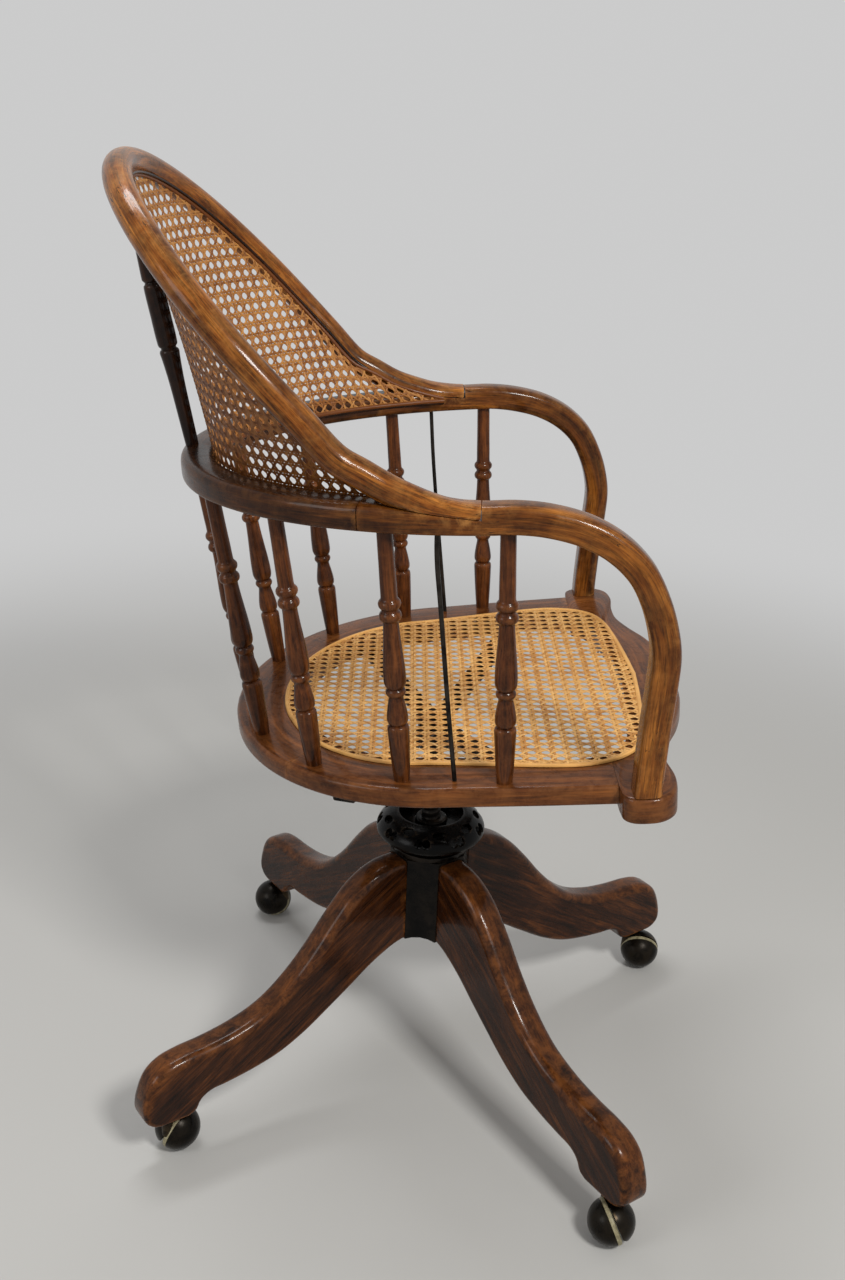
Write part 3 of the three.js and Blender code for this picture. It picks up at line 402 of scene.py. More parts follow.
def pillow_plate(outline, thickness, radii, grain_angle, steps=5):
    """A sawn board in the XY plane, its edges rounded by a radius of their own at each point."""
    bm = bmesh.new()
    count = len(outline)
    normals = []
    for i in range(count):
        along = (outline[(i + 1) % count] - outline[i - 1]).normalized()
        normals.append(Vector((-along.y, along.x, 0)))
    turns = [0.5 * math.pi * k / steps for k in range(steps + 1)]
    levels = [(1 - math.cos(a), 1 - math.sin(a), 0) for a in turns]
    levels += [(1, 0, inset) for inset in (0.9, 2.4, 4.5)]
    levels = [(*level, -1) for level in reversed(levels)] + [(*level, 1) for level in levels]
    rings = []
    for inward, down, more, side in levels:
        ring = []
        for p, n, r in zip(outline, normals, radii):
            q = p + n * (r * inward + more)
            ring.append(bm.verts.new((q.x, q.y, side * (thickness / 2 - r * down))))
        rings.append(ring)
    skin(bm, rings, -1)
    bmesh.ops.triangulate(bm, faces=[f for f in bm.faces if len(f.verts) > 4])
    layer = grain_layer(bm)
    c, s = math.cos(grain_angle), math.sin(grain_angle)
    for v in bm.verts:
        v[layer] = Vector((c * v.co.x + s * v.co.y, v.co.z, -s * v.co.x + c * v.co.y))
    return bm


def aim(start, end):
    """The matrix that stands Z on the line from start to end."""
    turn = (end - start).to_track_quat("Z", "Y")
    return Matrix.Translation(start) @ turn.to_matrix().to_4x4()


def super_section(rx, ry, top, bottom, count=28):
    """Between an ellipse (shape 1) and a rectangle (shape near 0), with a shape for each half."""
    out = []
    for k in range(count):
        a = 2 * math.pi * (k + 0.5) / count
        c, s = math.cos(a), math.sin(a)
        shape = top if s > 0 else bottom
        out.append((rx * math.copysign(abs(c) ** shape, c), ry * math.copysign(abs(s) ** shape, s)))
    return out


# Materials
class Nodes:
    """Short calls for building the nodes of a material or a world."""

    def __init__(self, owner):
        owner.use_nodes = True
        self.tree = owner.node_tree

    def feed(self, node, inputs):
        """Gives a node's inputs links, numbers or colours."""
        for key, value in inputs.items():
            socket = node.inputs[key]
            if isinstance(value, bpy.types.NodeSocket):
                self.tree.links.new(value, socket)
            else:
                socket.default_value = (*value, 1) if socket.type == "RGBA" else value

    def add(self, kind, inputs, output=0, **values):
        """A new node's output."""
        node = self.tree.nodes.new(kind)
        for key, value in values.items():
            setattr(node, key, value)
        self.feed(node, inputs)
        return node.outputs[output] if node.outputs else None

    def grain(self, scale):
        """The place in the piece's grain, times a scale for along, across and up."""
        source = self.add("ShaderNodeAttribute", {}, "Vector", attribute_name="grain")
        return self.add("ShaderNodeMapping", {"Vector": source, "Scale": scale})

    def place(self, scale):
        """The place on the object itself, in metres times the scale."""
        source = self.add("ShaderNodeTexCoord", {}, "Object")
        return self.add("ShaderNodeMapping", {"Vector": source, "Scale": (scale, scale, scale)})

    def noise(self, where, detail, roughness, distortion=0.0):
        """A noise drawn out along the grain by three scales, or in the object's place by one."""
        vector = self.grain(where) if isinstance(where, tuple) else self.place(where)
        return self.add("ShaderNodeTexNoise", {"Vector": vector, "Scale": 1, "Detail": detail,
                                               "Roughness": roughness, "Distortion": distortion})

    def ramp(self, factor, stops):
        """Stops are pairs of a place and a colour or grey."""
        node = self.tree.nodes.new("ShaderNodeValToRGB")
        elements = node.color_ramp.elements
        while len(elements) < len(stops):
            elements.new(0.5)
        for element, (place, color) in zip(elements, stops):
            element.position = place
            element.color = (*color, 1) if isinstance(color, tuple) else (color, color, color, 1)
        self.feed(node, {0: factor})
        return node.outputs[0]

    def mix(self, factor, a, b, blend="MIX"):
        return self.add("ShaderNodeMix", {0: factor, 6: a, 7: b}, 2, data_type="RGBA",
                        blend_type=blend)

    def tint(self, base, by, factor=1.0):
        return self.mix(factor, base, by, "MULTIPLY")

    def math(self, operation, a, b=0.0):
        return self.add("ShaderNodeMath", {0: a, 1: b}, operation=operation)

    def spread(self, factor, low, high, to_low=0.0, to_high=1.0, kind="LINEAR"):
        return self.add("ShaderNodeMapRange", {"Value": factor, "From Min": low, "From Max": high,
                                               "To Min": to_low, "To Max": to_high},
                        interpolation_type=kind)

    def part(self, axis, vector):
        return self.add("ShaderNodeSeparateXYZ", {0: vector}, axis)

    def upward(self):
        """How much the surface looks up, from -1 to 1."""
        return self.part("Z", self.add("ShaderNodeNewGeometry", {}, "Normal"))

    def edges(self):
        return self.add("ShaderNodeNewGeometry", {}, "Pointiness")

    def seen(self):
        """1 for what the camera sees directly, in a mirror or through glass."""
        path = self.tree.nodes.new("ShaderNodeLightPath").outputs
        seen = path["Is Camera Ray"]
        for name in ("Is Glossy Ray", "Is Transmission Ray"):
            seen = self.math("MAXIMUM", seen, path[name])
        return seen


class Finish(Nodes):
    """The nodes of a new material, which stands for a slot of the CAD."""

    def __init__(self, name, slot, tones):
        material = bpy.data.materials.new(name)
        super().__init__(material)
        self.tree.nodes.clear()
        finishes[name] = material, slot
        self.tones = [srgb(*tone) for tone in tones]

    def surface(self, base, rough, height, strength, distance, **inputs):
        """Ends the material with a bump and one shader."""
        normal = self.add("ShaderNodeBump", {"Height": height, "Strength": strength,
                                             "Distance": distance})
        inputs = {key.replace("_", " "): value for key, value in inputs.items()}
        shader = self.add("ShaderNodeBsdfPrincipled", {"Base Color": base, "Roughness": rough,
                                                       "Normal": normal, **inputs})
        self.add("ShaderNodeOutputMaterial", {"Surface": shader})


def srgb(r, g, b):
    """A colour written as 0 to 255 in a picture, as Blender's linear one."""
    return tuple(((c / 255 + 0.055) / 1.055) ** 2.4 if c > 10 else c / 255 / 12.92
                 for c in (r, g, b))


# How the noises that make a wood's tones and pores are drawn out along its grain
WOOD_FIGURE = (0.011, 0.12, 0.12)
WOOD_BANDS = (0.03, 0.38, 0.38)
WOOD_PORES = (0.035, 1.2, 1.2)
WOOD_CRACKS = (0.02, 0.2, 0.2)
HEEL_SHADE = (0.42, 0.36, 0.32)
CRACK_COLOR = (0.008, 0.005, 0.003)


def wood(name, slot, tones, wear, gloss, top=0.0, streaks=0.5, cracks=0.0, heel=0):
    """Varnished wood with its grain along the piece, pores, mottling and worn edges.

    tones are dark, middle, light and worn; the worn tone also stands for painted light. top is how
    far the upper side is worn and painted lighter as if lit from above, and heel the length in
    millimetres of a shaded start.
    """
    n = Finish(name, slot, tones)
    dark, middle, light, worn = n.tones
    figure = n.noise(WOOD_FIGURE, 5, 0.6, 0.5)
    base = n.ramp(figure, [(0.3, dark), (0.5, middle), (0.7, light)])
    bands = n.noise(WOOD_BANDS, 4, 0.65, 0.2)
    base = n.tint(base, n.ramp(bands, [(0.36, 1 - 0.9 * streaks), (0.54, 1.1)]))
    fine = n.noise(WOOD_PORES, 3, 0.65, 0.1)
    base = n.tint(base, n.ramp(fine, [(0.38, 1 - streaks), (0.52, 1.04)]), 0.9)
    blotch = n.noise(13, 5, 0.6, 0.3)
    base = n.tint(base, n.ramp(blotch, [(0.34, (0.56, 0.5, 0.46)), (0.6, (1.18, 1.14, 1.06))]))
    patches = n.noise(70, 5, 0.7, 0.4)
    rubbed = n.math("MULTIPLY", n.spread(n.edges(), 0.505, 0.56), n.spread(patches, 0.42, 0.64))
    # Upward faces also get the worn tone in patches, partly real wear and partly painted light from
    # above, so from here on rubbed holds both
    if top:
        top_wear_and_painted_light = n.math("MULTIPLY", n.spread(n.upward(), 0.1, 0.95),
                     n.spread(patches, 0.4, 0.62, 0.1, 1.0))
        rubbed = n.math("MAXIMUM", rubbed, n.math("MULTIPLY", top_wear_and_painted_light, top))
    base = n.mix(n.math("MULTIPLY", rubbed, wear), base, worn)
    if heel:
        near = n.spread(n.part("X", n.grain((1, 1, 1))), 0, heel, 1.0, 0.0)
        base = n.mix(near, base, n.tint(base, HEEL_SHADE))
    if cracks:
        course = n.noise(WOOD_CRACKS, 2, 0.5)
        beside = n.math("ABSOLUTE", n.math("SUBTRACT", course, 0.5))
        split = n.math("MULTIPLY", n.spread(beside, 0.002, 0.008, 1.0, 0.0),
                       n.spread(blotch, 0.54, 0.6))
        base = n.mix(n.math("MULTIPLY", split, cracks), base, CRACK_COLOR)
    rough = n.math("ADD", n.spread(patches, 0.3, 0.7, gloss - 0.07, gloss + 0.1),
                   n.spread(fine, 0.3, 0.6, 0.06, 0.0))
    height = n.math("ADD", n.math("MULTIPLY", fine, 0.5), n.math("MULTIPLY", patches, 0.6))
    n.surface(base, rough, height, 0.28, 0.0006, Coat_Weight=0.2, Coat_Roughness=0.06,
              Specular_IOR_Level=0.1)


def cane(name, slot, tones, gloss):
    """Split cane: every strand has its own tone, fine fibres along it and a darker underside, which
    is painted shade.
    """
    n = Finish(name, slot, tones)
    tone = n.add("ShaderNodeAttribute", {}, "Fac", attribute_name="strand")
    base = n.ramp(tone, list(zip((0.0, 0.5, 1.0), n.tones)))
    fibres = n.noise((0.02, 2.2, 1.0), 3, 0.6)
    base = n.tint(base, n.ramp(fibres, [(0.35, (0.72, 0.62, 0.5)), (0.6, (1.08, 1.06, 1.02))]), 0.6)
    stain = n.noise(30, 4, 0.6)
    base = n.tint(base, n.ramp(stain, [(0.3, (0.78, 0.68, 0.56)), (0.6, (1.05, 1.03, 1.0))]), 0.7)
    # Painted shade: the underside of each strand is darkened
    painted_shade_underside = n.spread(n.part("Z", n.grain((1, 1, 1))), -0.15, 0.2, 1.0, 0.0)
    base = n.mix(painted_shade_underside, base, n.tint(base, (0.5, 0.43, 0.38)))
    rough = n.spread(fibres, 0.3, 0.7, gloss - 0.08, gloss + 0.14)
    n.surface(base, rough, fibres, 0.3, 0.0003, Specular_IOR_Level=0.28)


def metal(name, tones, metallic, gloss, wear):
    """Painted or patinated cast metal with a slightly uneven skin and rubbed edges."""
    n = Finish(name, name, tones)
    dark, light, worn = n.tones
    cast = n.noise(420, 4, 0.6)
    cloud = n.noise(55, 5, 0.65, 0.3)
    base = n.ramp(cloud, [(0.3, dark), (0.7, light)])
    rubbed = n.math("MULTIPLY", n.spread(n.edges(), 0.51, 0.58), n.spread(cloud, 0.35, 0.6))
    base = n.mix(n.math("MULTIPLY", rubbed, wear), base, worn)
    rough = n.spread(cloud, 0.25, 0.75, gloss - 0.08, gloss + 0.18)
    n.surface(base, rough, cast, 0.25, 0.0003, Metallic=metallic, Specular_IOR_Level=0.13)


def bone(name, slot, tones):
    """The pale, grained tread of a caster wheel."""
    n = Finish(name, slot, tones)
    rings = n.noise(90, 5, 0.65, 1.2)
    scratch = n.noise((0.05, 1.5, 1.5), 3, 0.6)
    base = n.ramp(rings, list(zip((0.3, 0.5, 0.75), n.tones)))
    base = n.tint(base, n.ramp(scratch, [(0.35, 0.5), (0.6, 1.0)]), 0.6)
    rough = n.spread(scratch, 0.3, 0.7, 0.35, 0.6)
    n.surface(base, rough, scratch, 0.3, 0.0003)


wood("leg_wood", "leg_wood", [(30, 15, 7), (64, 34, 16), (100, 57, 25), (166, 100, 46)],
     wear=0.8, gloss=0.22, top=0.32, streaks=0.6, cracks=0.4)
wood("seat_wood", "seat_wood", [(58, 30, 14), (94, 53, 24), (126, 76, 36), (160, 104, 58)],
     wear=0.6, gloss=0.26, streaks=0.35, cracks=0.3)
wood("arm_wood", "arm_wood", [(50, 24, 8), (108, 61, 20), (158, 100, 40), (190, 132, 70)],
     wear=0.65, gloss=0.19, top=0.3, cracks=1.0, heel=75)
# The hoop is the arm's wood in lighter tones with a brighter top: painted light
wood("hoop_wood_painted_light", "arm_wood", [(60, 29, 9), (126, 71, 23), (178, 114, 46), (206, 146, 78)],
     wear=0.65, gloss=0.18, top=0.5, streaks=0.6, cracks=1.0)
wood("rail_wood", "dark_wood", [(30, 14, 6), (62, 33, 13), (104, 62, 25), (146, 96, 46)],
     wear=0.5, gloss=0.24, top=0.1, cracks=0.6)
wood("turned_wood", "turned_wood", [(40, 20, 10), (80, 43, 20), (114, 66, 31), (146, 90, 46)],
     wear=0.6, gloss=0.2, streaks=0.45)
wood("post_wood", "dark_wood", [(18, 10, 6), (36, 20, 12), (58, 33, 18), (84, 50, 28)],
     wear=0.4, gloss=0.2, streaks=0.4)
cane("seat_cane", "seat_cane", [(184, 130, 66), (212, 162, 92), (230, 186, 120)], 0.4)
cane("back_cane", "back_cane", [(132, 82, 38), (172, 117, 60), (200, 146, 82)], 0.42)
cane("binding_cane", "seat_cane", [(204, 150, 80), (220, 168, 96), (236, 192, 124)], 0.42)
cane("back_spline", "back_cane", [(112, 64, 24), (144, 90, 40), (172, 114, 56)], 0.36)
metal("black_iron", [(4, 4, 4), (10, 9, 9), (62, 52, 42)], 0.25, 0.22, 0.7)
metal("dark_bronze", [(10, 9, 7), (28, 24, 19), (88, 72, 50)], 0.35, 0.24, 0.6)
metal("dark_steel", [(18, 16, 15), (40, 36, 33), (92, 86, 78)], 0.65, 0.38, 0.6)
bone("pale_tread", "dark_bronze", [(96, 88, 62), (158, 149, 116), (196, 190, 160)])


# Base
corner_names = ["front_left", "rear_left", "rear_right", "front_right"]
caster_swings = [math.radians(a) for a in (-42, 30, 209, -23)]
HUB_BOTTOM = 174
HUB_HEIGHT = 98
HUB_TOP = HUB_BOTTOM + HUB_HEIGHT
CAP_THICKNESS = 5
CAP_BOSS_HEIGHT = 5.5
CAP_SCREW_CIRCLE = 31
SCREW_RADIUS = 10
SCREW_BORE = SCREW_RADIUS + GAP
WHEEL_RADIUS = 58
WHEEL_HEIGHT = 31
WHEEL_HOLE_COUNT = 9
HANDWHEEL_WALL = 4.5
HANDWHEEL_FLOOR = 5
HANDWHEEL_HUB_TOP = 24
HOLE_RADIUS = 4.6
TURNTABLE_HEIGHT = 390
COLLAR_THICKNESS = 5
WASHER_THICKNESS = 2.5
BOSS_HEIGHT = 26
THREAD_PITCH = 8
THREAD_DEPTH = 1.3
BALL_SIDES = 56
BALL_EDGE = 0.8
SPLIT_OFFSET = 3.2
HOOD_CUT = 0.02 * BALL_RADIUS
LEG_GRAIN = math.radians(-33)
FOOT_LENGTH = 70

# The leg's profile: shares of its length and of its height above the pad
leg_top_shares = [
    (-0.015, 0.988), (0.0, 0.995), (0.03, 1.0), (0.07, 0.998), (0.14, 0.966), (0.205, 0.905),
    (0.285, 0.782), (0.365, 0.64), (0.445, 0.523), (0.54, 0.423), (0.65, 0.365), (0.76, 0.338),
    (0.85, 0.328), (0.915, 0.307), (0.962, 0.259), (0.99, 0.181), (1.0, 0.098), (0.993, 0.044),
    (0.965, 0.008), (0.94, 0.0),
]
leg_under_shares = [
    (0.825, 0.0), (0.797, 0.02), (0.778, 0.064), (0.745, 0.092), (0.68, 0.102), (0.585, 0.122),
    (0.49, 0.156), (0.395, 0.22), (0.3, 0.308), (0.215, 0.391), (0.135, 0.472), (0.06, 0.53),
    (0.0, 0.562), (-0.015, 0.566),
]


def make_leg(name, corner):
    reach = LEG_REACH - (REAR_RIGHT_TRIM if name == "rear_right" else 0)

    def points(shares, length):
        return [Vector((LEG_ROOT + r * (length - LEG_ROOT),
                        PAD_HEIGHT + z * (LEG_PEAK - PAD_HEIGHT), 0)) for r, z in shares]

    top = smooth_curve(points(leg_top_shares, reach), 120)
    under = smooth_curve(points(leg_under_shares, LEG_REACH), 80)
    outline = list(reversed(top + under))

    # The edges are rounder above than below, and nearly sharp at the hub and low on the foot
    radii = []
    for p in outline:
        on_foot = p.x > LEG_REACH - FOOT_LENGTH
        above = smoothstep(p.y, PAD_HEIGHT + 14, PAD_HEIGHT + 34) if on_foot else 1
        on_top = 1 if p in top else 0.45
        root = smoothstep(p.x, LEG_ROOT - 5, LEG_ROOT + 5)
        radii.append(1.2 + root * (1.3 + 6.6 * on_top * (0.35 + 0.65 * above)))
    for _ in range(6):
        after = radii[1:] + radii[:1]
        radii = [(radii[i - 1] + radii[i] + after[i]) / 3 for i in range(len(radii))]
    bm = pillow_plate(outline, LEG_THICKNESS, radii, LEG_GRAIN)
    stand = to_row @ Matrix.Rotation(corner, 4, "Z") @ Matrix.Rotation(math.radians(90), 4, "X")
    finish_piece(f"leg_{name}_shaped", bm, "leg_wood", [f"leg_{name}"], "base", stand, 50)


def part_ball(matrix, keep):
    """A caster's ball cut by planes. keep: (axis, offset) pairs; the side past the offset stays."""
    bm = bmesh.new()
    bmesh.ops.create_uvsphere(bm, u_segments=BALL_SIDES, v_segments=BALL_SIDES // 2,
                              radius=BALL_RADIUS)
    for axis, offset in keep:
        cut = bmesh.ops.bisect_plane(bm, geom=bm.verts[:] + bm.edges[:] + bm.faces[:], dist=1e-5,
                                     plane_co=axis * offset, plane_no=axis, clear_inner=True)
        edges = [e for e in cut["geom_cut"] if isinstance(e, bmesh.types.BMEdge)]
        bmesh.ops.holes_fill(bm, edges=edges, sides=0)
    move(bm, matrix)
    return bm


def make_caster(name, corner, swing):
    stand = (to_row @ Matrix.Rotation(corner, 4, "Z") @ Matrix.Translation((CASTER_CIRCLE, 0, 0))
             @ Matrix.Rotation(swing, 4, "Z"))
    ball = Matrix.Translation((CASTER_TRAIL, 0, BALL_RADIUS))
    wheel_axis = Vector((0, -math.cos(WHEEL_AXIS_DROP), -math.sin(WHEEL_AXIS_DROP)))
    hood_axis = Vector((0, math.cos(HOOD_AXIS_RISE), math.sin(HOOD_AXIS_RISE)))
    axle = stand @ ball @ wheel_axis.to_track_quat("Z", "X").to_matrix().to_4x4()
    wheel, caster = f"wheel_{name}", f"caster_{name}"
    rim = math.sqrt(BALL_RADIUS ** 2 - SPLIT_OFFSET ** 2)

    # The wheel is a dome with a rivet over a pale tread, the hood a shell over the back of the ball
    dome = part_ball(ball, [(wheel_axis, SPLIT_OFFSET)])
    tread = lathe([(0, -2), (rim - 1.4, -2), (rim - 0.3, -1.2), (rim + 0.1, 0.6), (rim - 0.2, 2.6),
                   (0, 2.9)], 64)
    hood = part_ball(ball, [(-wheel_axis, SPLIT_OFFSET), (hood_axis, HOOD_CUT)])
    neck = lathe([(0, BALL_RADIUS), (6.4, BALL_RADIUS + 4), (5.6, PAD_HEIGHT - 8),
                  (5.4, PAD_HEIGHT - 1), (4, PAD_HEIGHT), (4, PAD_HEIGHT + 30),
                  (0, PAD_HEIGHT + 31)], 32)
    rivet = lathe([(0, 21.2), (3.4, 21.2), (3.6, 22.2), (3.0, 23.0), (1.6, 23.4), (0, 23.5)], 24)
    sleeve = lathe([(4.3, GAP), (9, GAP), (9, 1.8), (5.5, 1.8), (5.5, 32), (4.3, 32)], 32,
                   PAD_HEIGHT)
    for piece, bm, finish, nodes, body, matrix, angle, edge in (
        ("dome", dome, "dark_bronze", ["caster_wheel"], wheel, stand, 40, BALL_EDGE),
        ("tread", tread, "pale_tread", [], wheel, axle, 40, 0),
        ("hood_shell", hood, "dark_bronze", ["caster_hood", "caster_axle"], caster, stand, 40,
         BALL_EDGE),
        ("stem", neck, "dark_bronze", [], caster, stand, 35, 0),
        ("rivet", rivet, "dark_bronze", [], wheel, axle, 35, 0),
        ("socket", sleeve, "dark_bronze", ["caster_sleeve"], "base", stand, 35, 0),
    ):
        finish_piece(f"caster_{piece}_{name}", bm, finish, [f"{node}_{name}" for node in nodes],
                     body, matrix, angle, edge)


def make_hub():
    """The CAD's own hub and cap with their cast edges rounded."""
    for node, width in (("hub", 1.6), ("hub_cap", 1.0)):
        piece = add_object(f"{node}_cast", frame["nodes"][node].data.copy())
        piece.data.materials.clear()
        piece.data.materials.append(finishes["black_iron"][0])
        bm = bmesh.new()
        bm.from_mesh(piece.data)
        bmesh.ops.remove_doubles(bm, verts=bm.verts, dist=1e-5)
        bmesh.ops.dissolve_limit(bm, angle_limit=math.radians(1), verts=bm.verts, edges=bm.edges)
        bm.to_mesh(piece.data)
        bm.free()
        round_sharp(piece, width, 3, 25)
        shade(piece.data, 30)
        hand_over(piece, [node], "black_iron", "base")


def make_cap_screws():
    """Domed screws on the cap, each slot turned its own way."""
    head = HUB_TOP + GAP + CAP_THICKNESS + GAP
    for i in range(4):
        turn = LEG_AZIMUTH + (i + 0.5) * math.pi / 2
        bm = lathe([(0, -4), (2.6, -4), (2.6, 0), (5.5, 0), (5.5, 2), (5.1, 3), (4.0, 3.7),
                    (2.2, 4), (0, 4)], 32, head)
        place = (to_row @ Matrix.Rotation(turn, 4, "Z")
                 @ Matrix.Translation((CAP_SCREW_CIRCLE, 0, 0)) @ Matrix.Rotation(0.7 * i, 4, "Z"))
        piece = finish_piece(f"cap_screw_head_{i + 1}", bm, "black_iron", [f"cap_screw_{i + 1}"],
                             "base", place)
        slot = bmesh.new()
        bmesh.ops.create_cube(slot, size=1)
        shape = place @ Matrix.Translation((0, 0, head + 4)) @ Matrix.Diagonal((14, 1.3, 3, 1))
        move(slot, TO_METRES @ shape)
        cut_out(piece, slot)


def make_handwheel():
    """A bowl with a hub in it, pierced by low holes and, between them, sloping high ones."""
    bottom = HUB_TOP + GAP + CAP_THICKNESS + CAP_BOSS_HEIGHT + GAP
    top = bottom + WHEEL_HEIGHT
    floor = bottom + HANDWHEEL_FLOOR
    shares = [(0.76, 0.03), (0.9, 0.12), (0.985, 0.27), (1.0, 0.42), (0.965, 0.6), (0.88, 0.79),
              (0.78, 0.93)]
    wall = [(r * WHEEL_RADIUS, bottom + z * WHEEL_HEIGHT + (0.8 if i < 2 else 0))
            for i, (r, z) in enumerate(shares)]
    outer = profile_curve([(40.5, bottom + 1.8)] + wall + [(39.5, top - 0.3)], 40)
    wall = [(r * WHEEL_RADIUS - HANDWHEEL_WALL, floor + z * (WHEEL_HEIGHT - 10)) for r, z in shares]
    inner = profile_curve([(35, floor)] + wall + [(34.5, top - HANDWHEEL_WALL)], 30)
    hub_top = bottom + HANDWHEEL_HUB_TOP
    bm = lathe([(SCREW_BORE, bottom), (38, bottom), (38.8, bottom + 0.5), (38.9, bottom + 1.7),
                *outer, (38.4, top), (35.6, top), (34.5, top - 1), *reversed(inner), (18.5, floor),
                (17, bottom + 6.5), (17, bottom + 22.5), (15.5, hub_top), (SCREW_BORE, hub_top)],
               96)
    wheel = finish_piece("handwheel_cast", bm, "black_iron", ["handwheel"], "handwheel", to_row, 40)

    # A low hole is two drillings side by side. For each drilling: its start, stretch, distance
    # out, depth and the share of a step it is turned by
    middle = bottom + WHEEL_HEIGHT * 0.62
    drillings = [(Matrix.Translation((0, side * HOLE_RADIUS * 0.85, middle)), 1, 56, 44, 0)
                 for side in (-1, 1)]
    slope = Matrix.Translation((0, 0, bottom - 21.3)) @ Matrix.Rotation(math.radians(-45), 4, "Y")
    for start, stretch, out, depth, step in drillings + [(slope, 1.65, 68, 30, 0.5)]:
        tools = bmesh.new()
        for i in range(WHEEL_HOLE_COUNT):
            turn = Matrix.Rotation((i + 0.5 + step) * 2 * math.pi / WHEEL_HOLE_COUNT, 4, "Z")
            made = bmesh.ops.create_cone(tools, cap_ends=True, segments=28, radius1=HOLE_RADIUS,
                                         radius2=HOLE_RADIUS, depth=depth)
            shape = (turn @ start @ Matrix.Translation((out, 0, 0))
                     @ Matrix.Diagonal((1, stretch, 1, 1))
                     @ Matrix.Rotation(math.radians(90), 4, "Y"))
            bmesh.ops.transform(tools, matrix=TO_METRES @ to_row @ shape, verts=made["verts"])
        cut_out(wheel, tools)
    round_sharp(wheel, 0.7, 2, 35)
    shade(wheel.data, 40)


def make_height_screw():
    """The screw: a coarse square thread, the turntable collar, the pin, the washer and the nut."""
    sides = 48
    bm = bmesh.new()
    layer = grain_layer(bm)
    rings = []
    for i, z in enumerate(range(HUB_BOTTOM + 4, TURNTABLE_HEIGHT - 7)):
        ring = []
        for k in range(sides):
            a = 2 * math.pi * k / sides
            phase = (z / THREAD_PITCH - k / sides) % 1
            depth = THREAD_DEPTH * smoothstep(abs(phase - 0.5) * 4 - 1, -0.25, 0.25)
            end = min(i, 2) / 2
            r = (SCREW_RADIUS - 1.5) * (1 - end) + (SCREW_RADIUS - depth) * end
            vert = bm.verts.new((r * math.cos(a), r * math.sin(a), z))
            vert[layer] = Vector((z, 0, 0))
            ring.append(vert)
        rings.append(ring)
    skin(bm, rings, -1)
    collar = [(0, -9), (9.4, -9), (10, -6), (11, -2.5), (15.5, 0), (16.6, 0.8), (17, 2), (17, 3.8),
              (16, COLLAR_THICKNESS), (8, COLLAR_THICKNESS), (8, 41), (7, 42.2), (0, 42.2)]
    washer = [(8.3, 0), (16.6, 0), (17, 0.4), (17, 2.1), (16.6, WASHER_THICKNESS),
              (8.3, WASHER_THICKNESS)]
    nut = [(8.2, 0), (11.8, 0), (13, 0.8), (13, 5.2), (11.8, 6), (8.2, 6)]
    washer_at = TURNTABLE_HEIGHT + COLLAR_THICKNESS + GAP
    nut_at = washer_at + WASHER_THICKNESS + GAP + BOSS_HEIGHT + GAP
    for name, bm, nodes, angle in (
        ("height_screw_thread", bm, ["height_screw"], 60),
        ("turntable_collar", lathe(collar, 48, TURNTABLE_HEIGHT), [], 35),
        ("turntable_washer", lathe(washer, 48, washer_at), ["thrust_washer"], 35),
        ("swivel_pin_nut", lathe(nut, 6, nut_at), ["swivel_nut"], 20),
    ):
        finish_piece(name, bm, "dark_steel", nodes, "screw", to_row, angle)


# Seat, in its own sloping frame
ear_shares = [
    (0.654, 0.92), (0.66, 0.965), (0.685, 0.991), (0.73, 1.0), (0.79, 0.992), (0.838, 0.95),
    (0.858, 0.86), (0.846, 0.74), (0.85, 0.62), (0.89, 0.5), (0.945, 0.375), (0.985, 0.22),
    (1.0, 0.0),
]
cane_corner_shares = [
    (0.6, 1.0), (0.7, 0.99), (0.81, 0.945), (0.888, 0.865), (0.935, 0.74), (0.962, 0.55),
    (0.985, 0.28), (1.0, 0.0),
]


def rear_arc(middle, rx, ry, last=0.5 * math.pi, count=16, height=lambda x: 0):
    """An ellipse about (middle, 0) from its rearmost point round to the left."""
    points = []
    for k in range(count + 1):
        a = last * k / count
        x = middle - rx * math.cos(a)
        points.append(Vector((x, ry * math.sin(a), height(x))))
    return points


def seat_line():
    """The rim's outline from the rear middle round the left side to the front middle."""
    arc = rear_arc(SEAT_CURVE_END, SEAT_REAR + SEAT_CURVE_END, SEAT_HALF)
    side = arc + [Vector((95, 231.4, 0)), Vector((SEAT_JOINT_X, SEAT_JOINT_HALF, 0))]
    ear = [Vector((x * SEAT_FRONT, y * EAR_HALF, 0)) for x, y in ear_shares]
    return smooth_curve(side, 200), [side[-1]] + smooth_curve(ear, 160)


def cane_line(shrink):
    """The cane's outline, from the rear middle round and back to it, drawn in by shrink."""
    arc = rear_arc(0, CANE_REAR, CANE_HALF)
    corner = [Vector((x * CANE_FRONT, y * CANE_FRONT_HALF, 0)) for x, y in cane_corner_shares]
    line = mirrored(smooth_curve(arc + corner, 160))
    out = []
    for i, p in enumerate(line):
        along = heading(line, i)
        out.append(p + Vector((along.y, -along.x, 0)) * shrink)
    return out


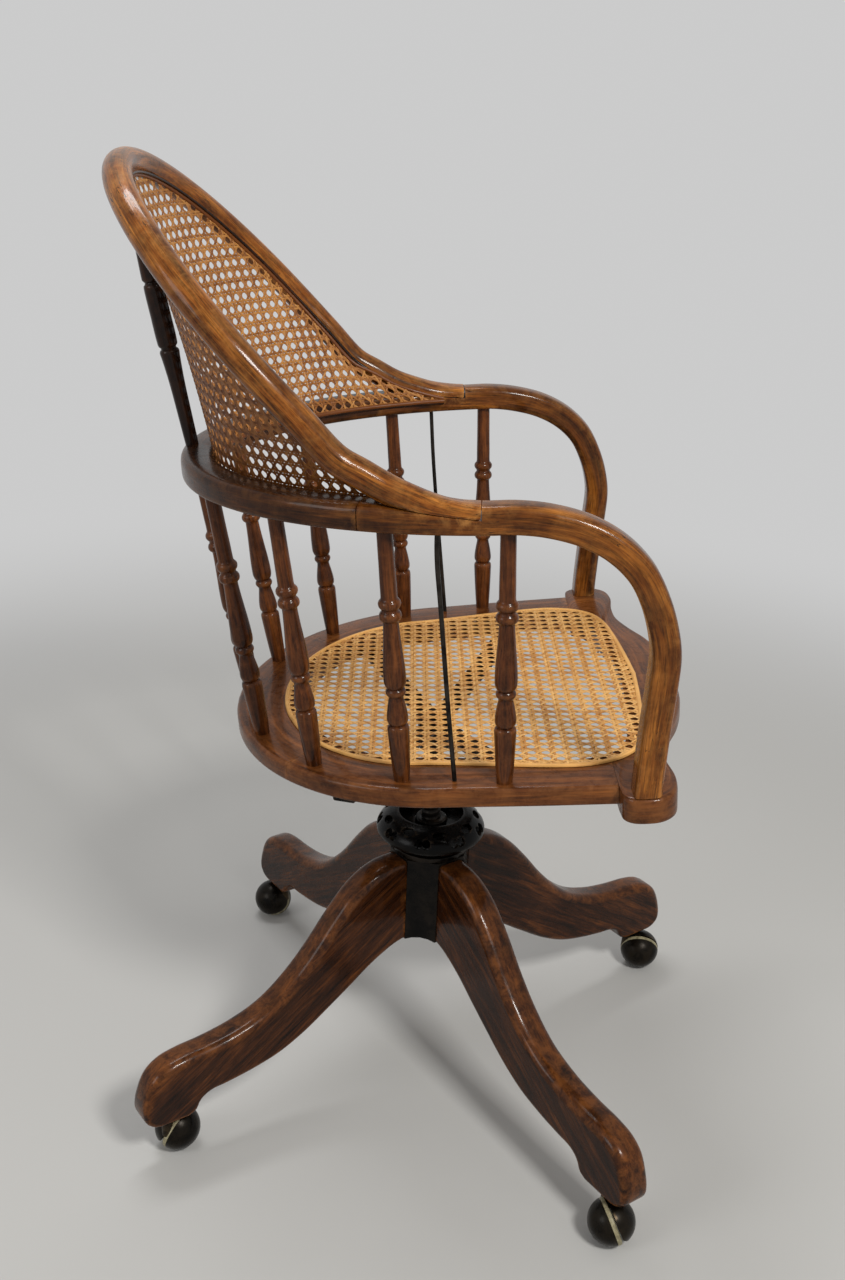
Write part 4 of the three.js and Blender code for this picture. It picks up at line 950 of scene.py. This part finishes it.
def make_rim():
    """The bent rim in three pieces with slanting joints, and the front board with thicker ears."""
    side, ear = seat_line()
    hole = cane_line(CANE_LAP)
    hole = hole[len(hole) // 2:]
    half_gap = GAP / 2
    beside = Vector((math.sin(SCARF_ANGLE), -math.cos(SCARF_ANGLE), 0))
    radii = (0.8, 3.2, 4.6, 1.2)
    front_radii = (0.8, 3.4, 4.6, 1.2)

    def rear_test(p):
        return -p.dot(beside) - half_gap

    def side_test(p):
        return min(p.dot(beside) - half_gap, SEAT_JOINT_X - half_gap - p.x)

    def front_test(p):
        return p.x - SEAT_JOINT_X - half_gap

    def cut(line, test, count):
        return resample(keep_part(line, test), count)

    def board(name, node, outer, inner, radii, bottom=-RIM_THICKNESS, sign=1):
        finish_piece(name, band(outer, inner, bottom, radii), "seat_wood", [node],
                     matrix=to_seat @ Matrix.Diagonal((1, sign, 1, 1)), angle=40)

    outer, inner = (mirrored(cut(line, rear_test, 60)) for line in (side, hole))
    board("rim_rear_bent", "rim_rear", outer, inner, radii)
    outer, inner = (cut(line, side_test, 70) for line in (side, hole))
    for name, sign in SIDES:
        board(f"rim_{name}_bent", f"rim_{name}", outer, inner, radii, sign=sign)
    front = [Vector((SEAT_JOINT_X, SEAT_JOINT_HALF, 0))] + ear
    outer, inner = (mirrored(cut(line, front_test, 110)[::-1]) for line in (front, hole))

    def ear_bottom(i):
        share = smoothstep(abs(outer[i].y), EAR_INNER - 10, EAR_INNER + 2)
        return -RIM_THICKNESS - (EAR_THICKNESS - RIM_THICKNESS) * share

    board("front_board_shaped", "front_board", outer, inner, front_radii, ear_bottom)


# Turned parts
spindle_spots = [
    ("spindle_1", (0.337, 0.956), (0.393, 0.987)),
    ("spindle_2", (-0.128, 0.889), (-0.128, 0.92)),
    ("spindle_3", (-0.545, 0.712), (-0.608, 0.739)),
    ("spindle_4", (-0.827, 0.398), (-0.934, 0.42)),
]
rear_spot = ((-0.918, 0), (-1.061, 0))
rod_spot = ((0.112, 0.925), (0.095, 0.956))
spindle_shares = [
    (0.72, 0.0), (0.82, 0.06), (0.96, 0.19), (0.97, 0.222), (0.9, 0.231), (0.72, 0.236),
    (0.86, 0.243), (0.95, 0.255), (0.93, 0.278), (0.78, 0.318), (0.66, 0.346), (0.68, 0.352),
    (0.86, 0.362), (0.9, 0.371), (0.84, 0.379), (0.72, 0.385), (0.84, 0.391), (0.98, 0.408),
    (1.0, 0.43), (0.96, 0.476), (0.83, 0.548), (0.74, 0.6), (0.69, 0.645), (0.7, 0.652),
    (0.92, 0.661), (0.99, 0.672), (0.92, 0.684), (0.75, 0.692), (0.75, 0.699), (0.92, 0.708),
    (1.0, 0.719), (0.94, 0.73), (0.75, 0.739), (0.73, 0.746), (0.72, 0.8), (0.7, 0.86), (0.68, 1.0),
]
post_shares = [
    (0.66, 0.0), (0.7, 0.1), (0.78, 0.25), (0.93, 0.342), (0.98, 0.36), (0.94, 0.369),
    (0.76, 0.375), (0.78, 0.381), (0.94, 0.387), (1.0, 0.41), (1.0, 0.5), (0.99, 0.6),
    (0.94, 0.615), (0.76, 0.621), (0.78, 0.627), (0.95, 0.634), (0.97, 0.65), (0.94, 0.68),
    (0.84, 0.78), (0.76, 0.86), (0.68, 1.0),
]
TENON = 9
POST_TENON = 7
ROD_RADIUS = 2.1


def ends(foot, head, side):
    start = Vector((foot[0] * SEAT_REAR, side * foot[1] * SEAT_HALF, 0))
    end = Vector((head[0] * SEAT_REAR, side * head[1] * SEAT_HALF, 0))
    end.z = RAIL_HEIGHT - end.x * math.tan(RAIL_DIP)
    return start, end


def make_turning(name, foot_to_head, shares, radius, tenon, finish, node):
    start, end = foot_to_head
    length = (end - start).length
    fine = profile_curve([(r * radius, z * length) for r, z in shares], 150)
    profile = [(0, -tenon), (fine[0][0] * 0.9, -tenon), *fine, (fine[-1][0] * 0.9, length + tenon),
               (0, length + tenon)]
    finish_piece(name, lathe(profile, 32), finish, [node], matrix=to_seat @ aim(start, end),
                 angle=55)


def make_spindles():
    spots = [(f"{name}_{side_name}", ends(foot, head, side))
             for name, foot, head in spindle_spots for side_name, side in SIDES]
    for name, line in spots + [("spindle_rear", ends(*rear_spot, 1))]:
        make_turning(f"{name}_turned", line, spindle_shares, SPINDLE_RADIUS, TENON, "turned_wood",
                     name)


# Each rod bows back by so many millimetres at these shares of its length
rod_bows = {
    "left": [(0, 0), (0.3, 0.7), (0.6, 1.4), (0.8, 1.2), (1, 0)],
    "right": [(0, 0), (0.16, 0.6), (0.33, 1.2), (0.53, 1.4), (0.74, 1.6), (0.86, 1.9), (0.94, 1.2),
              (1, 0)],
}


def make_tie_rods():
    for name, side in SIDES:
        start, end = ends(*rod_spot, side)
        length = (end - start).length
        path = [(start - (end - start) * ((RIM_THICKNESS + 1) / length))]
        for t, back in rod_bows[name]:
            path.append(start.lerp(end, t) - Vector((back, 0, 0)))
        path.append(end + (end - start) * (TENON / length))
        bar = sweep(smooth_curve(path, 60), lambda i, t: Vector((1, 0, 0)),
                    lambda s: round_section(ROD_RADIUS, ROD_RADIUS, 14))
        nut = lathe([(0, -3), (4.2, -3), (5, -2.3), (5, -0.6), (4.4, 0), (0, 0)], 24,
                    -RIM_THICKNESS - 2 * GAP)
        move(nut, aim(start, end))
        finish_piece(f"tie_rod_{name}_bar", bar, "dark_steel", [f"tie_rod_{name}"], angle=60)
        finish_piece(f"tie_rod_{name}_nut", nut, "dark_steel", angle=40)


# Rail, arms and hoop
SEAM_GAP = 0.9
ARM_TOP_SHAPE = 0.56
ARM_BOTTOM_SHAPE = 0.34


def rail_middle_z(x):
    return RAIL_HEIGHT + RAIL_THICKNESS / 2 - x * math.tan(RAIL_DIP)


def arm_middle(x):
    run = (x - RAIL_CURVE_END) / (RAIL_REAR + RAIL_CURVE_END - RAIL_WIDTH / 2)
    return (RAIL_HALF - RAIL_WIDTH / 2) * math.sqrt(1 - run * run)


def seam_height(x):
    """Height of the long sloping seat of the hoop's foot in the arm."""
    rear = rail_middle_z(RAIL_END_X) + RAIL_THICKNESS / 2
    front = rail_middle_z(SEAM_END_X) + RAIL_THICKNESS / 2 - SEAM_DEPTH
    share = min(max((x - RAIL_END_X) / (SEAM_END_X - RAIL_END_X), 0), 1)
    return rear + share * (front - rear)


arm_bend_shares = [
    (0.218, 0.984, 0.04), (0.469, 0.945, 0.14), (0.678, 0.883, 0.25), (0.837, 0.798, 0.38),
    (0.937, 0.688, 0.52), (0.987, 0.587, 0.64), (1, 0.506, 0.73), (0.971, 0.385, 0.82),
    (0.921, 0.223, 0.92), (0.87, 0.02, 1), (0.862, -0.04, 1),
]


def make_rear_rail():
    rx = RAIL_REAR + RAIL_CURVE_END - RAIL_WIDTH / 2
    ry = RAIL_HALF - RAIL_WIDTH / 2
    last = math.acos((RAIL_CURVE_END - RAIL_END_X) / rx)
    half = rear_arc(RAIL_CURVE_END, rx, ry, last, 60, rail_middle_z)
    section = super_section(RAIL_WIDTH / 2, RAIL_THICKNESS / 2, ARM_TOP_SHAPE, ARM_BOTTOM_SHAPE)
    up = Vector((math.sin(RAIL_DIP), 0, math.cos(RAIL_DIP)))
    bm = sweep(mirrored(half), lambda i, t: up, lambda s: section)
    finish_piece("rear_rail_bent", bm, "rail_wood", ["rear_rail"], angle=50)


def make_arms():
    points = []
    for i in range(7):
        x = RAIL_END_X + GAP + (i / 6) * (RAIL_CURVE_END - RAIL_END_X - GAP)
        points.append(Vector((x, arm_middle(x), rail_middle_z(x))))
    half_span, top = arm_middle(RAIL_CURVE_END), rail_middle_z(RAIL_CURVE_END)
    for forward, height, outward in arm_bend_shares:
        points.append(Vector((RAIL_CURVE_END + forward * (ARM_FRONT_X - RAIL_CURVE_END),
                              half_span + outward * (ARM_FOOT_HALF_SPAN - half_span),
                              height * top)))
    path = keep_part(smooth_curve(points, 130), lambda p: p.z + 6)

    # The path has two points close together where the seat of the hoop's foot ends in a step
    seam = next(i for i, p in enumerate(path) if p.x > SEAM_END_X)
    share = (SEAM_END_X - path[seam - 1].x) / (path[seam].x - path[seam - 1].x)
    butt = path[seam - 1].lerp(path[seam], share)
    path = path[:seam] + [butt - Vector((0.05, 0, 0)), butt + Vector((0.05, 0, 0))] + path[seam:]

    def settle(point, i):
        if i <= seam and point.z > seam_height(point.x):
            point.z = seam_height(point.x)
        if i > len(path) - 20 and point.z < GAP:
            point.z = GAP
        return point

    def section(share):
        start = 1 - smoothstep(share, 0, 0.2)
        return super_section(ARM_WIDTH / 2 + start * (RAIL_WIDTH - ARM_WIDTH) / 2,
                             ARM_THICKNESS / 2 + start * (RAIL_THICKNESS - ARM_THICKNESS) / 2,
                             ARM_TOP_SHAPE, ARM_BOTTOM_SHAPE)

    for name, side in SIDES:
        bm = sweep(path, lambda i, t: t.cross(Vector((0, 1, 0))), section, settle)
        finish_piece(f"arm_{name}_bent", bm, "arm_wood", [f"arm_{name}"],
                     matrix=to_seat @ Matrix.Diagonal((1, side, 1, 1)), angle=50)


hoop_normal = Vector((math.cos(HOOP_LEAN), 0, math.sin(HOOP_LEAN)))
hoop_centre_z = HOOP_TOP - HOOP_HALF * math.cos(HOOP_LEAN)
hoop_foot_shares = [
    (0.174, 0.267, 0.05), (0.345, 0.52, 0.19), (0.532, 0.724, 0.5), (0.702, 0.876, 0.77),
    (0.872, 0.962, 0.94), (1.04, 1, 1),
]


def hoop_point(y, rise):
    return Vector((-HOOP_SHOULDER - rise * math.sin(HOOP_LEAN), y,
                   hoop_centre_z + rise * math.cos(HOOP_LEAN)))


def hoop_half(offset, foot_shares):
    """One half of a line inside the hoop's middle by the offset, from the top down to the arm."""
    radius = HOOP_HALF - offset
    turns = [math.pi * k / 16 for k in range(9)]
    points = [hoop_point(radius * math.sin(a), radius * math.cos(a)) for a in turns]
    heel = hoop_point(radius, -HOOP_STRAIGHT)
    end = Vector((SEAM_END_X, arm_middle(SEAM_END_X) - offset, rail_middle_z(SEAM_END_X)))
    points += [hoop_point(radius, -HOOP_STRAIGHT / 2), heel]
    for forward, down, outward in foot_shares:
        points.append(Vector((
            heel.x + forward * (end.x - heel.x),
            heel.y + outward * (end.y - heel.y),
            heel.z + down * (end.z - heel.z),
        )))
    return points


def make_hoop():
    path = smooth_curve(mirrored(hoop_half(0, hoop_foot_shares)), 260)
    path = [p for p in path if p.x < SEAM_END_X - 1]
    stop = SEAM_END_X - 1.5

    def end_point(a, b):
        return b + (b - a) * ((stop - b.x) / (b - a).x)

    path = [end_point(path[1], path[0])] + path + [end_point(path[-2], path[-1])]

    def section(share):
        foot = smoothstep(abs(2 * share - 1), 0.84, 0.99)
        shape = 1 + foot * (ARM_TOP_SHAPE - 1)
        below = 1 + foot * (ARM_BOTTOM_SHAPE - 1)
        return super_section(HOOP_RADIUS + foot * (ARM_WIDTH / 2 - HOOP_RADIUS),
                             HOOP_RADIUS + foot * (ARM_THICKNESS / 2 - HOOP_RADIUS), shape, below)

    def rest(point, i):
        point.z = max(point.z, seam_height(point.x) + SEAM_GAP)
        return point

    bm = sweep(path, lambda i, t: hoop_normal, section, rest)
    finish_piece("back_hoop_bent", bm, "hoop_wood_painted_light", ["back_hoop"], angle=50)


def make_post():
    foot = Vector((-POST_FOOT, 0, rail_middle_z(-POST_FOOT) + RAIL_THICKNESS / 2))
    apex = hoop_point(0, HOOP_HALF)
    head = apex - (apex - foot).normalized() * HOOP_RADIUS
    make_turning("back_post_turned", (foot, head), post_shares, POST_RADIUS, POST_TENON,
                 "post_wood", "back_post")


# Woven cane
CANE_LIFT = 0.62
STRAND_THICKNESS = 0.75
PAIR_HALF_GAP = 0.118


def weave_strands(place, inside, u_range, v_range, width):
    """Strands of the seven-step weave over a surface.

    place(u, v) gives a point and the way up; whole numbers of u and v are the middles of the holes.
    Along and across run pairs of strands that pass over and under each other, and one strand runs
    each way on the slant.
    """
    bm = bmesh.new()
    layers = grain_layer(bm), bm.verts.layers.float.new("strand")
    rng = np.random.default_rng(7)
    families = []
    u0, u1 = u_range
    v0, v1 = v_range
    steps = ((0, 0), (0.5 - PAIR_HALF_GAP, 1), (0.5, 0), (0.5 + PAIR_HALF_GAP, -1))

    def cells(low, high):
        return range(math.floor(low) - 1, math.ceil(high) + 1)

    for kind, low, high in (("along", u0, u1), ("across", v0, v1)):
        for k in cells(low, high):
            families += [(kind, k + 0.5 - PAIR_HALF_GAP, 1), (kind, k + 0.5 + PAIR_HALF_GAP, -1)]
    for kind, low, high in (("falling", u0 + v0, u1 + v1), ("rising", u0 - v1, u1 - v0)):
        families += [(kind, k + 0.5, 1) for k in cells(low, high)]

    def stations(kind, line, sign):
        """Places along a strand as (u, v, height), four to a cell."""
        if kind in ("along", "across"):
            sign *= 0.45 * CANE_LIFT * (1 if kind == "along" else -1)
            for c in cells(v0, v1) if kind == "along" else cells(u0, u1):
                for step, height in steps:
                    spot = (line, c + step) if kind == "along" else (c + step, line)
                    yield *spot, height * sign
        else:
            for c in range(4 * (math.floor(u0) - 1), 4 * (math.ceil(u1) + 1)):
                u = c / 4
                v = line - u if kind == "falling" else u - line
                over = math.cos(2 * math.pi * u)
                yield u, v, CANE_LIFT * over * (1 if kind == "falling" else -1)

    for number, (kind, line, sign) in enumerate(families):
        tone = rng.uniform(0, 1)
        slim = rng.uniform(0.93, 1.06) * (width * 0.94 if kind in ("falling", "rising") else width)
        run = []
        spots = list(stations(kind, line, sign))
        for before, spot in zip([None] + spots, spots):
            here = inside(spot[0], spot[1])
            if here and not run and before is not None:
                run.append(cut_between(inside, before, spot))
            if here:
                run.append(spot)
            elif run:
                run.append(cut_between(inside, spot, run[-1]))
                lay_strand(bm, layers, run, place, slim, tone, number)
                run = []
        if run:
            lay_strand(bm, layers, run, place, slim, tone, number)
    return bm


def cut_between(inside, outer, inner):
    """Where a strand crosses the edge, from a place outside to one inside."""
    for _ in range(7):
        middle = tuple((a + b) / 2 for a, b in zip(outer, inner))
        if inside(middle[0], middle[1]):
            inner = middle
        else:
            outer = middle
    return inner


def lay_strand(bm, layers, run, place, width, tone, number):
    """One flat strand with its edges bevelled, through the places of a run."""
    if len(run) < 3:
        return
    grain, strand = layers
    ups, points = [], []
    for u, v, height in run:
        point, up = place(u, v)
        ups.append(up)
        points.append(point + up * height)
    rings = []
    along = number * 37.0
    for i, (point, up) in enumerate(zip(points, ups)):
        tangent = heading(points, i)
        across = tangent.cross(up).normalized()
        if i:
            along += (point - points[i - 1]).length
        lift = tangent.cross(across).normalized()
        if lift.dot(up) < 0:
            lift = -lift
        ring = []
        for w, t in ((-0.5, -0.2), (0.5, -0.2), (0.34, 0.42), (-0.34, 0.42)):
            vert = bm.verts.new(point + across * (w * width) + lift * (t * STRAND_THICKNESS))
            vert[grain] = Vector((along, w * width, t))
            vert[strand] = tone
            ring.append(vert)
        rings.append(ring)
    skin(bm, rings)


SEAT_PITCH_X = 12.85
SEAT_PITCH_Y = 11.7
SEAT_ROW_SKEW = -1.45
SEAT_HOLE = (-8.5, -24.9)
SEAT_STRAND_WIDTH = 2.35
SEAT_WEAVE_HEIGHT = 1.35
BINDING_SECTION = [
    (-2.4, 0.4), (2.4, 0.4), (2.2, 1.7), (1.3, 2.6), (0, 2.9), (-1.3, 2.6), (-2.2, 1.7),
]
BINDING_TONE = 0.6


def make_seat_cane():
    edge = cane_line(3.2)
    angles = np.array([math.atan2(p.y, p.x) for p in edge[:-1]])
    reach = np.array([p.length for p in edge[:-1]])
    order = np.argsort(angles)
    angles, reach = angles[order], reach[order]
    angles = np.concatenate([angles[-3:] - 2 * math.pi, angles, angles[:3] + 2 * math.pi])
    reach = np.concatenate([reach[-3:], reach, reach[:3]])

    def spot(u, v):
        return SEAT_HOLE[0] + SEAT_PITCH_X * u, SEAT_HOLE[1] + SEAT_ROW_SKEW * u + SEAT_PITCH_Y * v

    def inside(u, v):
        x, y = spot(u, v)
        return math.hypot(x, y) < np.interp(math.atan2(y, x), angles, reach)

    up = Vector((0, 0, 1))

    def place(u, v):
        return Vector((*spot(u, v), SEAT_WEAVE_HEIGHT)), up

    bm = weave_strands(place, inside, (-14, 20), (-20, 22), SEAT_STRAND_WIDTH)
    finish_piece("seat_cane_weave", bm, "seat_cane", ["seat_cane"], angle=75)
    bm = closed_sweep(cane_line(2.5)[:-1], BINDING_SECTION)
    finish_piece("seat_cane_spline", bm, "binding_cane", ["seat_cane_binding"], angle=60)


def closed_sweep(loop, section):
    """A bar that runs round a flat loop."""
    bm = bmesh.new()
    grain = grain_layer(bm)
    strand = bm.verts.layers.float.new("strand")
    rings = []
    along = 0
    for i, p in enumerate(loop):
        tangent = (loop[(i + 1) % len(loop)] - loop[i - 1]).normalized()
        across = Vector((tangent.y, -tangent.x, 0))
        along += (p - loop[i - 1]).length
        ring = []
        for w, h in section:
            vert = bm.verts.new(p + across * w + Vector((0, 0, h)))
            vert[grain] = Vector((along, w, h))
            vert[strand] = BINDING_TONE
            ring.append(vert)
        rings.append(ring)
    return skin(bm, rings, 0)


BACK_CANE_LAP = 33
BACK_CANE_END = 33
BACK_CANE_BULGE = 5
BACK_PITCH = 11.6
BACK_CANE_DEPTH = 3
BACK_STRAND_WIDTH = 2.2


def hoop_line(offset, forward, count):
    """A line along the hoop down to the cane's tip, inside it by offset and in front by forward."""
    half = hoop_half(offset, hoop_foot_shares[:3])
    arc = len(half) - 3
    points = [p + hoop_normal * (forward if k < arc else 0) for k, p in enumerate(half)]
    return smooth_curve(mirrored(points + [cane_tip()]), count)


def cane_tip():
    run = (RAIL_CURVE_END - BACK_CANE_END) / (RAIL_REAR + RAIL_CURVE_END - BACK_CANE_LAP)
    return Vector((BACK_CANE_END, (RAIL_HALF - BACK_CANE_LAP) * math.sqrt(1 - run * run),
                   rail_middle_z(BACK_CANE_END) + 3))


def back_edges(count):
    """The cane's lower edge on the rail's inner face and its upper edge inside the hoop."""
    rx = RAIL_REAR + RAIL_CURVE_END - BACK_CANE_LAP
    ry = RAIL_HALF - BACK_CANE_LAP
    last = math.acos((RAIL_CURVE_END - BACK_CANE_END) / rx)
    lower = rear_arc(RAIL_CURVE_END, rx, ry, last, height=lambda x: rail_middle_z(x) + 1)
    return smooth_curve(mirrored(lower), count), hoop_line(13.8, -BACK_CANE_DEPTH, count)


def make_back_cane():
    count = 240
    lower, upper = back_edges(count)
    span = sum((b - a).length for a, b in zip(lower, lower[1:]))

    def at(line, share):
        x = min(max(share, 0), 1) * count
        k = min(int(x), count - 1)
        return line[k].lerp(line[k + 1], x - k)

    def point_at(share, rise):
        """A place on the sheet: share runs round the back, and rise is in millimetres up it."""
        a, b = at(lower, share), at(upper, share)
        length = max((b - a).length, 1)
        t = rise / length
        along = at(lower, share + 0.01) - at(lower, share - 0.01)
        normal = (b - a).cross(along).normalized()
        if normal.x < 0:
            normal = -normal
        sway = BACK_CANE_BULGE * 4 * t * (1 - t) * math.sin(math.pi * min(max(share, 0), 1))
        return a.lerp(b, t) + normal * sway, normal, length

    def share_of(u):
        return 0.5 + u * BACK_PITCH / span

    def place(u, v):
        point, normal, _ = point_at(share_of(u), (v + 0.5) * BACK_PITCH)
        return point, normal

    tip = max(i for i in range(count // 2, count) if (upper[i] - lower[i]).z > 3) / count

    def inside(u, v):
        share = share_of(u)
        if abs(share - 0.5) > tip - 0.5:
            return False
        rise = (v + 0.5) * BACK_PITCH
        a, b = at(lower, share), at(upper, share)
        return -1.5 < rise < (b - a).length + 1.5

    reach = span / BACK_PITCH / 2
    bm = weave_strands(place, inside, (-reach - 1, reach + 1), (-2, 30), BACK_STRAND_WIDTH)
    finish_piece("back_cane_weave", bm, "back_cane", ["back_cane"], angle=75)

    # Along each edge runs a spline, with a thin dark tube beside it as painted shade in the groove
    whole = [i for i in range(count + 1) if abs(i / count - 0.5) < tip - 0.5 + 0.006]
    facing = [point_at(i / count, 5)[1] for i in whole]
    down = Vector((0, 0, -1))

    def on_rail(drop, out):
        return [lower[i] + down * drop + n * out for i, n in zip(whole, facing)]

    def on_hoop(offset, forward):
        line = hoop_line(offset, forward - BACK_CANE_DEPTH, count)
        return [line[i] for i in whole]

    for name, line, radius, finish in (
        ("lower", on_rail(0.4, 1.0), 2.2, "back_spline"),
        # The dark tubes are painted shade, not parts of the chair
        ("lower_groove_painted_shade", on_rail(2.6, -0.4), 1.6, "post_wood"),
        ("upper", on_hoop(13.4, 1.2), 2.1, "back_spline"),
        ("upper_groove_painted_shade", on_hoop(12.9, 4.2), 1.6, "post_wood"),
    ):
        bm = sweep(line, lambda i, t: facing[i], lambda s: round_section(radius, radius * 0.85, 10))
        finish_piece(f"back_cane_spline_{name}", bm, finish, angle=60, slot="back_cane")


# Seat iron
IRON_PADS = [(-74, 178), (96, 190), (96, -190), (-74, -178)]
IRON_WIDTH = 21.8
IRON_THICKNESS = 6


def make_seat_iron():
    """The boss on the screw's pin, and four arms up to pads under the rim with a screw in each."""
    bottom = TURNTABLE_HEIGHT + COLLAR_THICKNESS + GAP + WASHER_THICKNESS + GAP
    level = -RIM_THICKNESS - GAP - IRON_THICKNESS / 2
    inverse = to_seat.inverted() @ to_row
    hub_point = inverse @ Vector((0, 0, bottom + BOSS_HEIGHT - 6))
    boss = lathe([(8.3, 0), (17, 0), (18, 1), (18, BOSS_HEIGHT - 8), (21, BOSS_HEIGHT - 3),
                  (20, BOSS_HEIGHT), (8.3, BOSS_HEIGHT)], 48, bottom)
    move(boss, inverse)
    finish_piece("seat_iron_boss", boss, "black_iron", ["seat_iron"])
    section = soft_box(IRON_WIDTH, IRON_THICKNESS - 0.2, (1.6, 1.6, 1.6, 1.6), 3)
    head = level - IRON_THICKNESS / 2 - GAP
    for i, (x, y) in enumerate(IRON_PADS):
        outward = Vector((x, y, 0)).normalized()
        pad = Vector((x, y, level))
        start = hub_point + outward * 12
        knee = pad - outward * 20
        line = [start, start.lerp(knee, 0.5) - Vector((0, 0, 1.5)), knee - Vector((0, 0, 0.6)),
                pad - outward * 8, pad + outward * 14.8]
        bm = sweep(smooth_curve(line, 40), lambda k, t: Vector((0, 0, 1)), lambda s: section)
        finish_piece(f"seat_iron_arm_{i + 1}", bm, "black_iron", angle=40)
        screw = lathe([(0, -2.5), (3.4, -2.5), (4.6, -1.6), (5, -0.3), (5, 0), (2.4, 0), (2.4, 6),
                       (0, 6)], 28, head)
        move(screw, Matrix.Translation((x, y, 0)))
        finish_piece(f"seat_iron_screw_{i + 1}", screw, "dark_steel", [f"iron_screw_{i + 1}"])


# Camera, light and floor
FLOOR_COLOR = (0.55, 0.55, 0.54)
FLOOR_HALF = 20
FADE_START = 0.7
FADE_END = 2.2
BACKGROUND_COLOR = (0.6, 0.6, 0.6)
SKY_COLOR = (1, 0.97, 0.93)
SKY_STRENGTH = 0.33
LAMP_TARGET = Vector((0, 0, 0.5))


def make_camera():
    yaw, pitch, roll = CAMERA_YAW, CAMERA_PITCH, CAMERA_ROLL
    forward = Vector((math.sin(yaw) * math.cos(pitch), math.cos(yaw) * math.cos(pitch),
                      -math.sin(pitch)))
    right = Vector((math.cos(yaw), -math.sin(yaw), 0))
    down = forward.cross(right)
    right, down = (math.cos(roll) * right + math.sin(roll) * down,
                   -math.sin(roll) * right + math.cos(roll) * down)
    data = bpy.data.cameras.new("camera")
    data.sensor_width = SENSOR
    data.lens = FOCAL_PIXELS / PHOTO_HEIGHT * SENSOR
    data.shift_x = (PHOTO_WIDTH / 2 - PRINCIPAL_X) / PHOTO_HEIGHT
    data.shift_y = (PRINCIPAL_Y - PHOTO_HEIGHT / 2) / PHOTO_HEIGHT
    camera = add_object("camera", data)
    turn = Matrix((right, -down, -forward)).transposed().to_4x4()
    camera.matrix_world = Matrix.Translation(CAMERA_AT * MM) @ turn
    bpy.context.scene.camera = camera


def make_lamp(name, place, size, power, color=(1, 1, 1)):
    data = bpy.data.lights.new(name, "AREA")
    data.shape = "RECTANGLE"
    data.size, data.size_y = size
    data.energy = power
    data.color = color
    add_object(name, data).matrix_world = aim(
        Vector(place), Vector(place) - (LAMP_TARGET - Vector(place)))


def make_stage():
    """A pale floor that fades into an even background, soft lamps and a dim even sky."""
    material = bpy.data.materials.new("floor")
    n = Nodes(material)
    shader = n.tree.nodes["Principled BSDF"]
    n.feed(shader, {"Base Color": FLOOR_COLOR, "Roughness": 0.7, "Specular IOR Level": 0.2})
    length = n.add("ShaderNodeVectorMath", {0: n.add("ShaderNodeTexCoord", {}, "Object")}, "Value",
                   operation="LENGTH")
    fade = n.spread(length, FADE_START, FADE_END, kind="SMOOTHERSTEP")
    glow = n.add("ShaderNodeEmission", {"Color": BACKGROUND_COLOR})
    share = n.math("MULTIPLY", fade, n.seen())
    mix = n.add("ShaderNodeMixShader", {0: share, 1: shader.outputs[0], 2: glow})
    n.feed(n.tree.nodes["Material Output"], {"Surface": mix})
    mesh = bpy.data.meshes.new("floor")
    corners = [(x * FLOOR_HALF, y * FLOOR_HALF, 0) for x, y in ((-1, -1), (1, -1), (1, 1), (-1, 1))]
    mesh.from_pydata(corners, [], [(0, 1, 2, 3)])
    mesh.materials.append(material)
    add_object("floor", mesh)
    world = bpy.data.worlds.new("world")
    n = Nodes(world)
    light = n.tree.nodes["Background"]
    n.feed(light, {"Color": SKY_COLOR, "Strength": SKY_STRENGTH})
    plain = n.add("ShaderNodeBackground", {"Color": BACKGROUND_COLOR})
    mix = n.add("ShaderNodeMixShader", {0: n.seen(), 1: light.outputs[0], 2: plain})
    n.feed(n.tree.nodes["World Output"], {"Surface": mix})
    bpy.context.scene.world = world
    make_lamp("key", (0.9, -1.6, 2.1), (0.5, 0.38), 38, (1, 0.98, 0.94))
    make_lamp("over", (-0.5, 0.7, 2.4), (1.2, 0.35), 16)
    make_lamp("fill", (-2.0, -1.4, 1.4), (1.0, 1.0), 12)
    bpy.context.scene.view_settings.view_transform = "Standard"


make_camera()
make_stage()
for index, corner_name in enumerate(corner_names):
    corner_angle = LEG_AZIMUTH + index * math.pi / 2
    make_leg(corner_name, corner_angle)
    make_caster(corner_name, corner_angle, caster_swings[index])
make_hub()
make_cap_screws()
make_handwheel()
make_height_screw()
make_rim()
make_seat_iron()
make_seat_cane()
make_spindles()
make_tie_rods()
make_rear_rail()
make_arms()
make_hoop()
make_post()
make_back_cane()

# The key stays the CAD's own solid and only gets its metal
key = frame["nodes"]["hub_key"].data
key.materials.clear()
key.materials.append(finishes["dark_steel"][0])
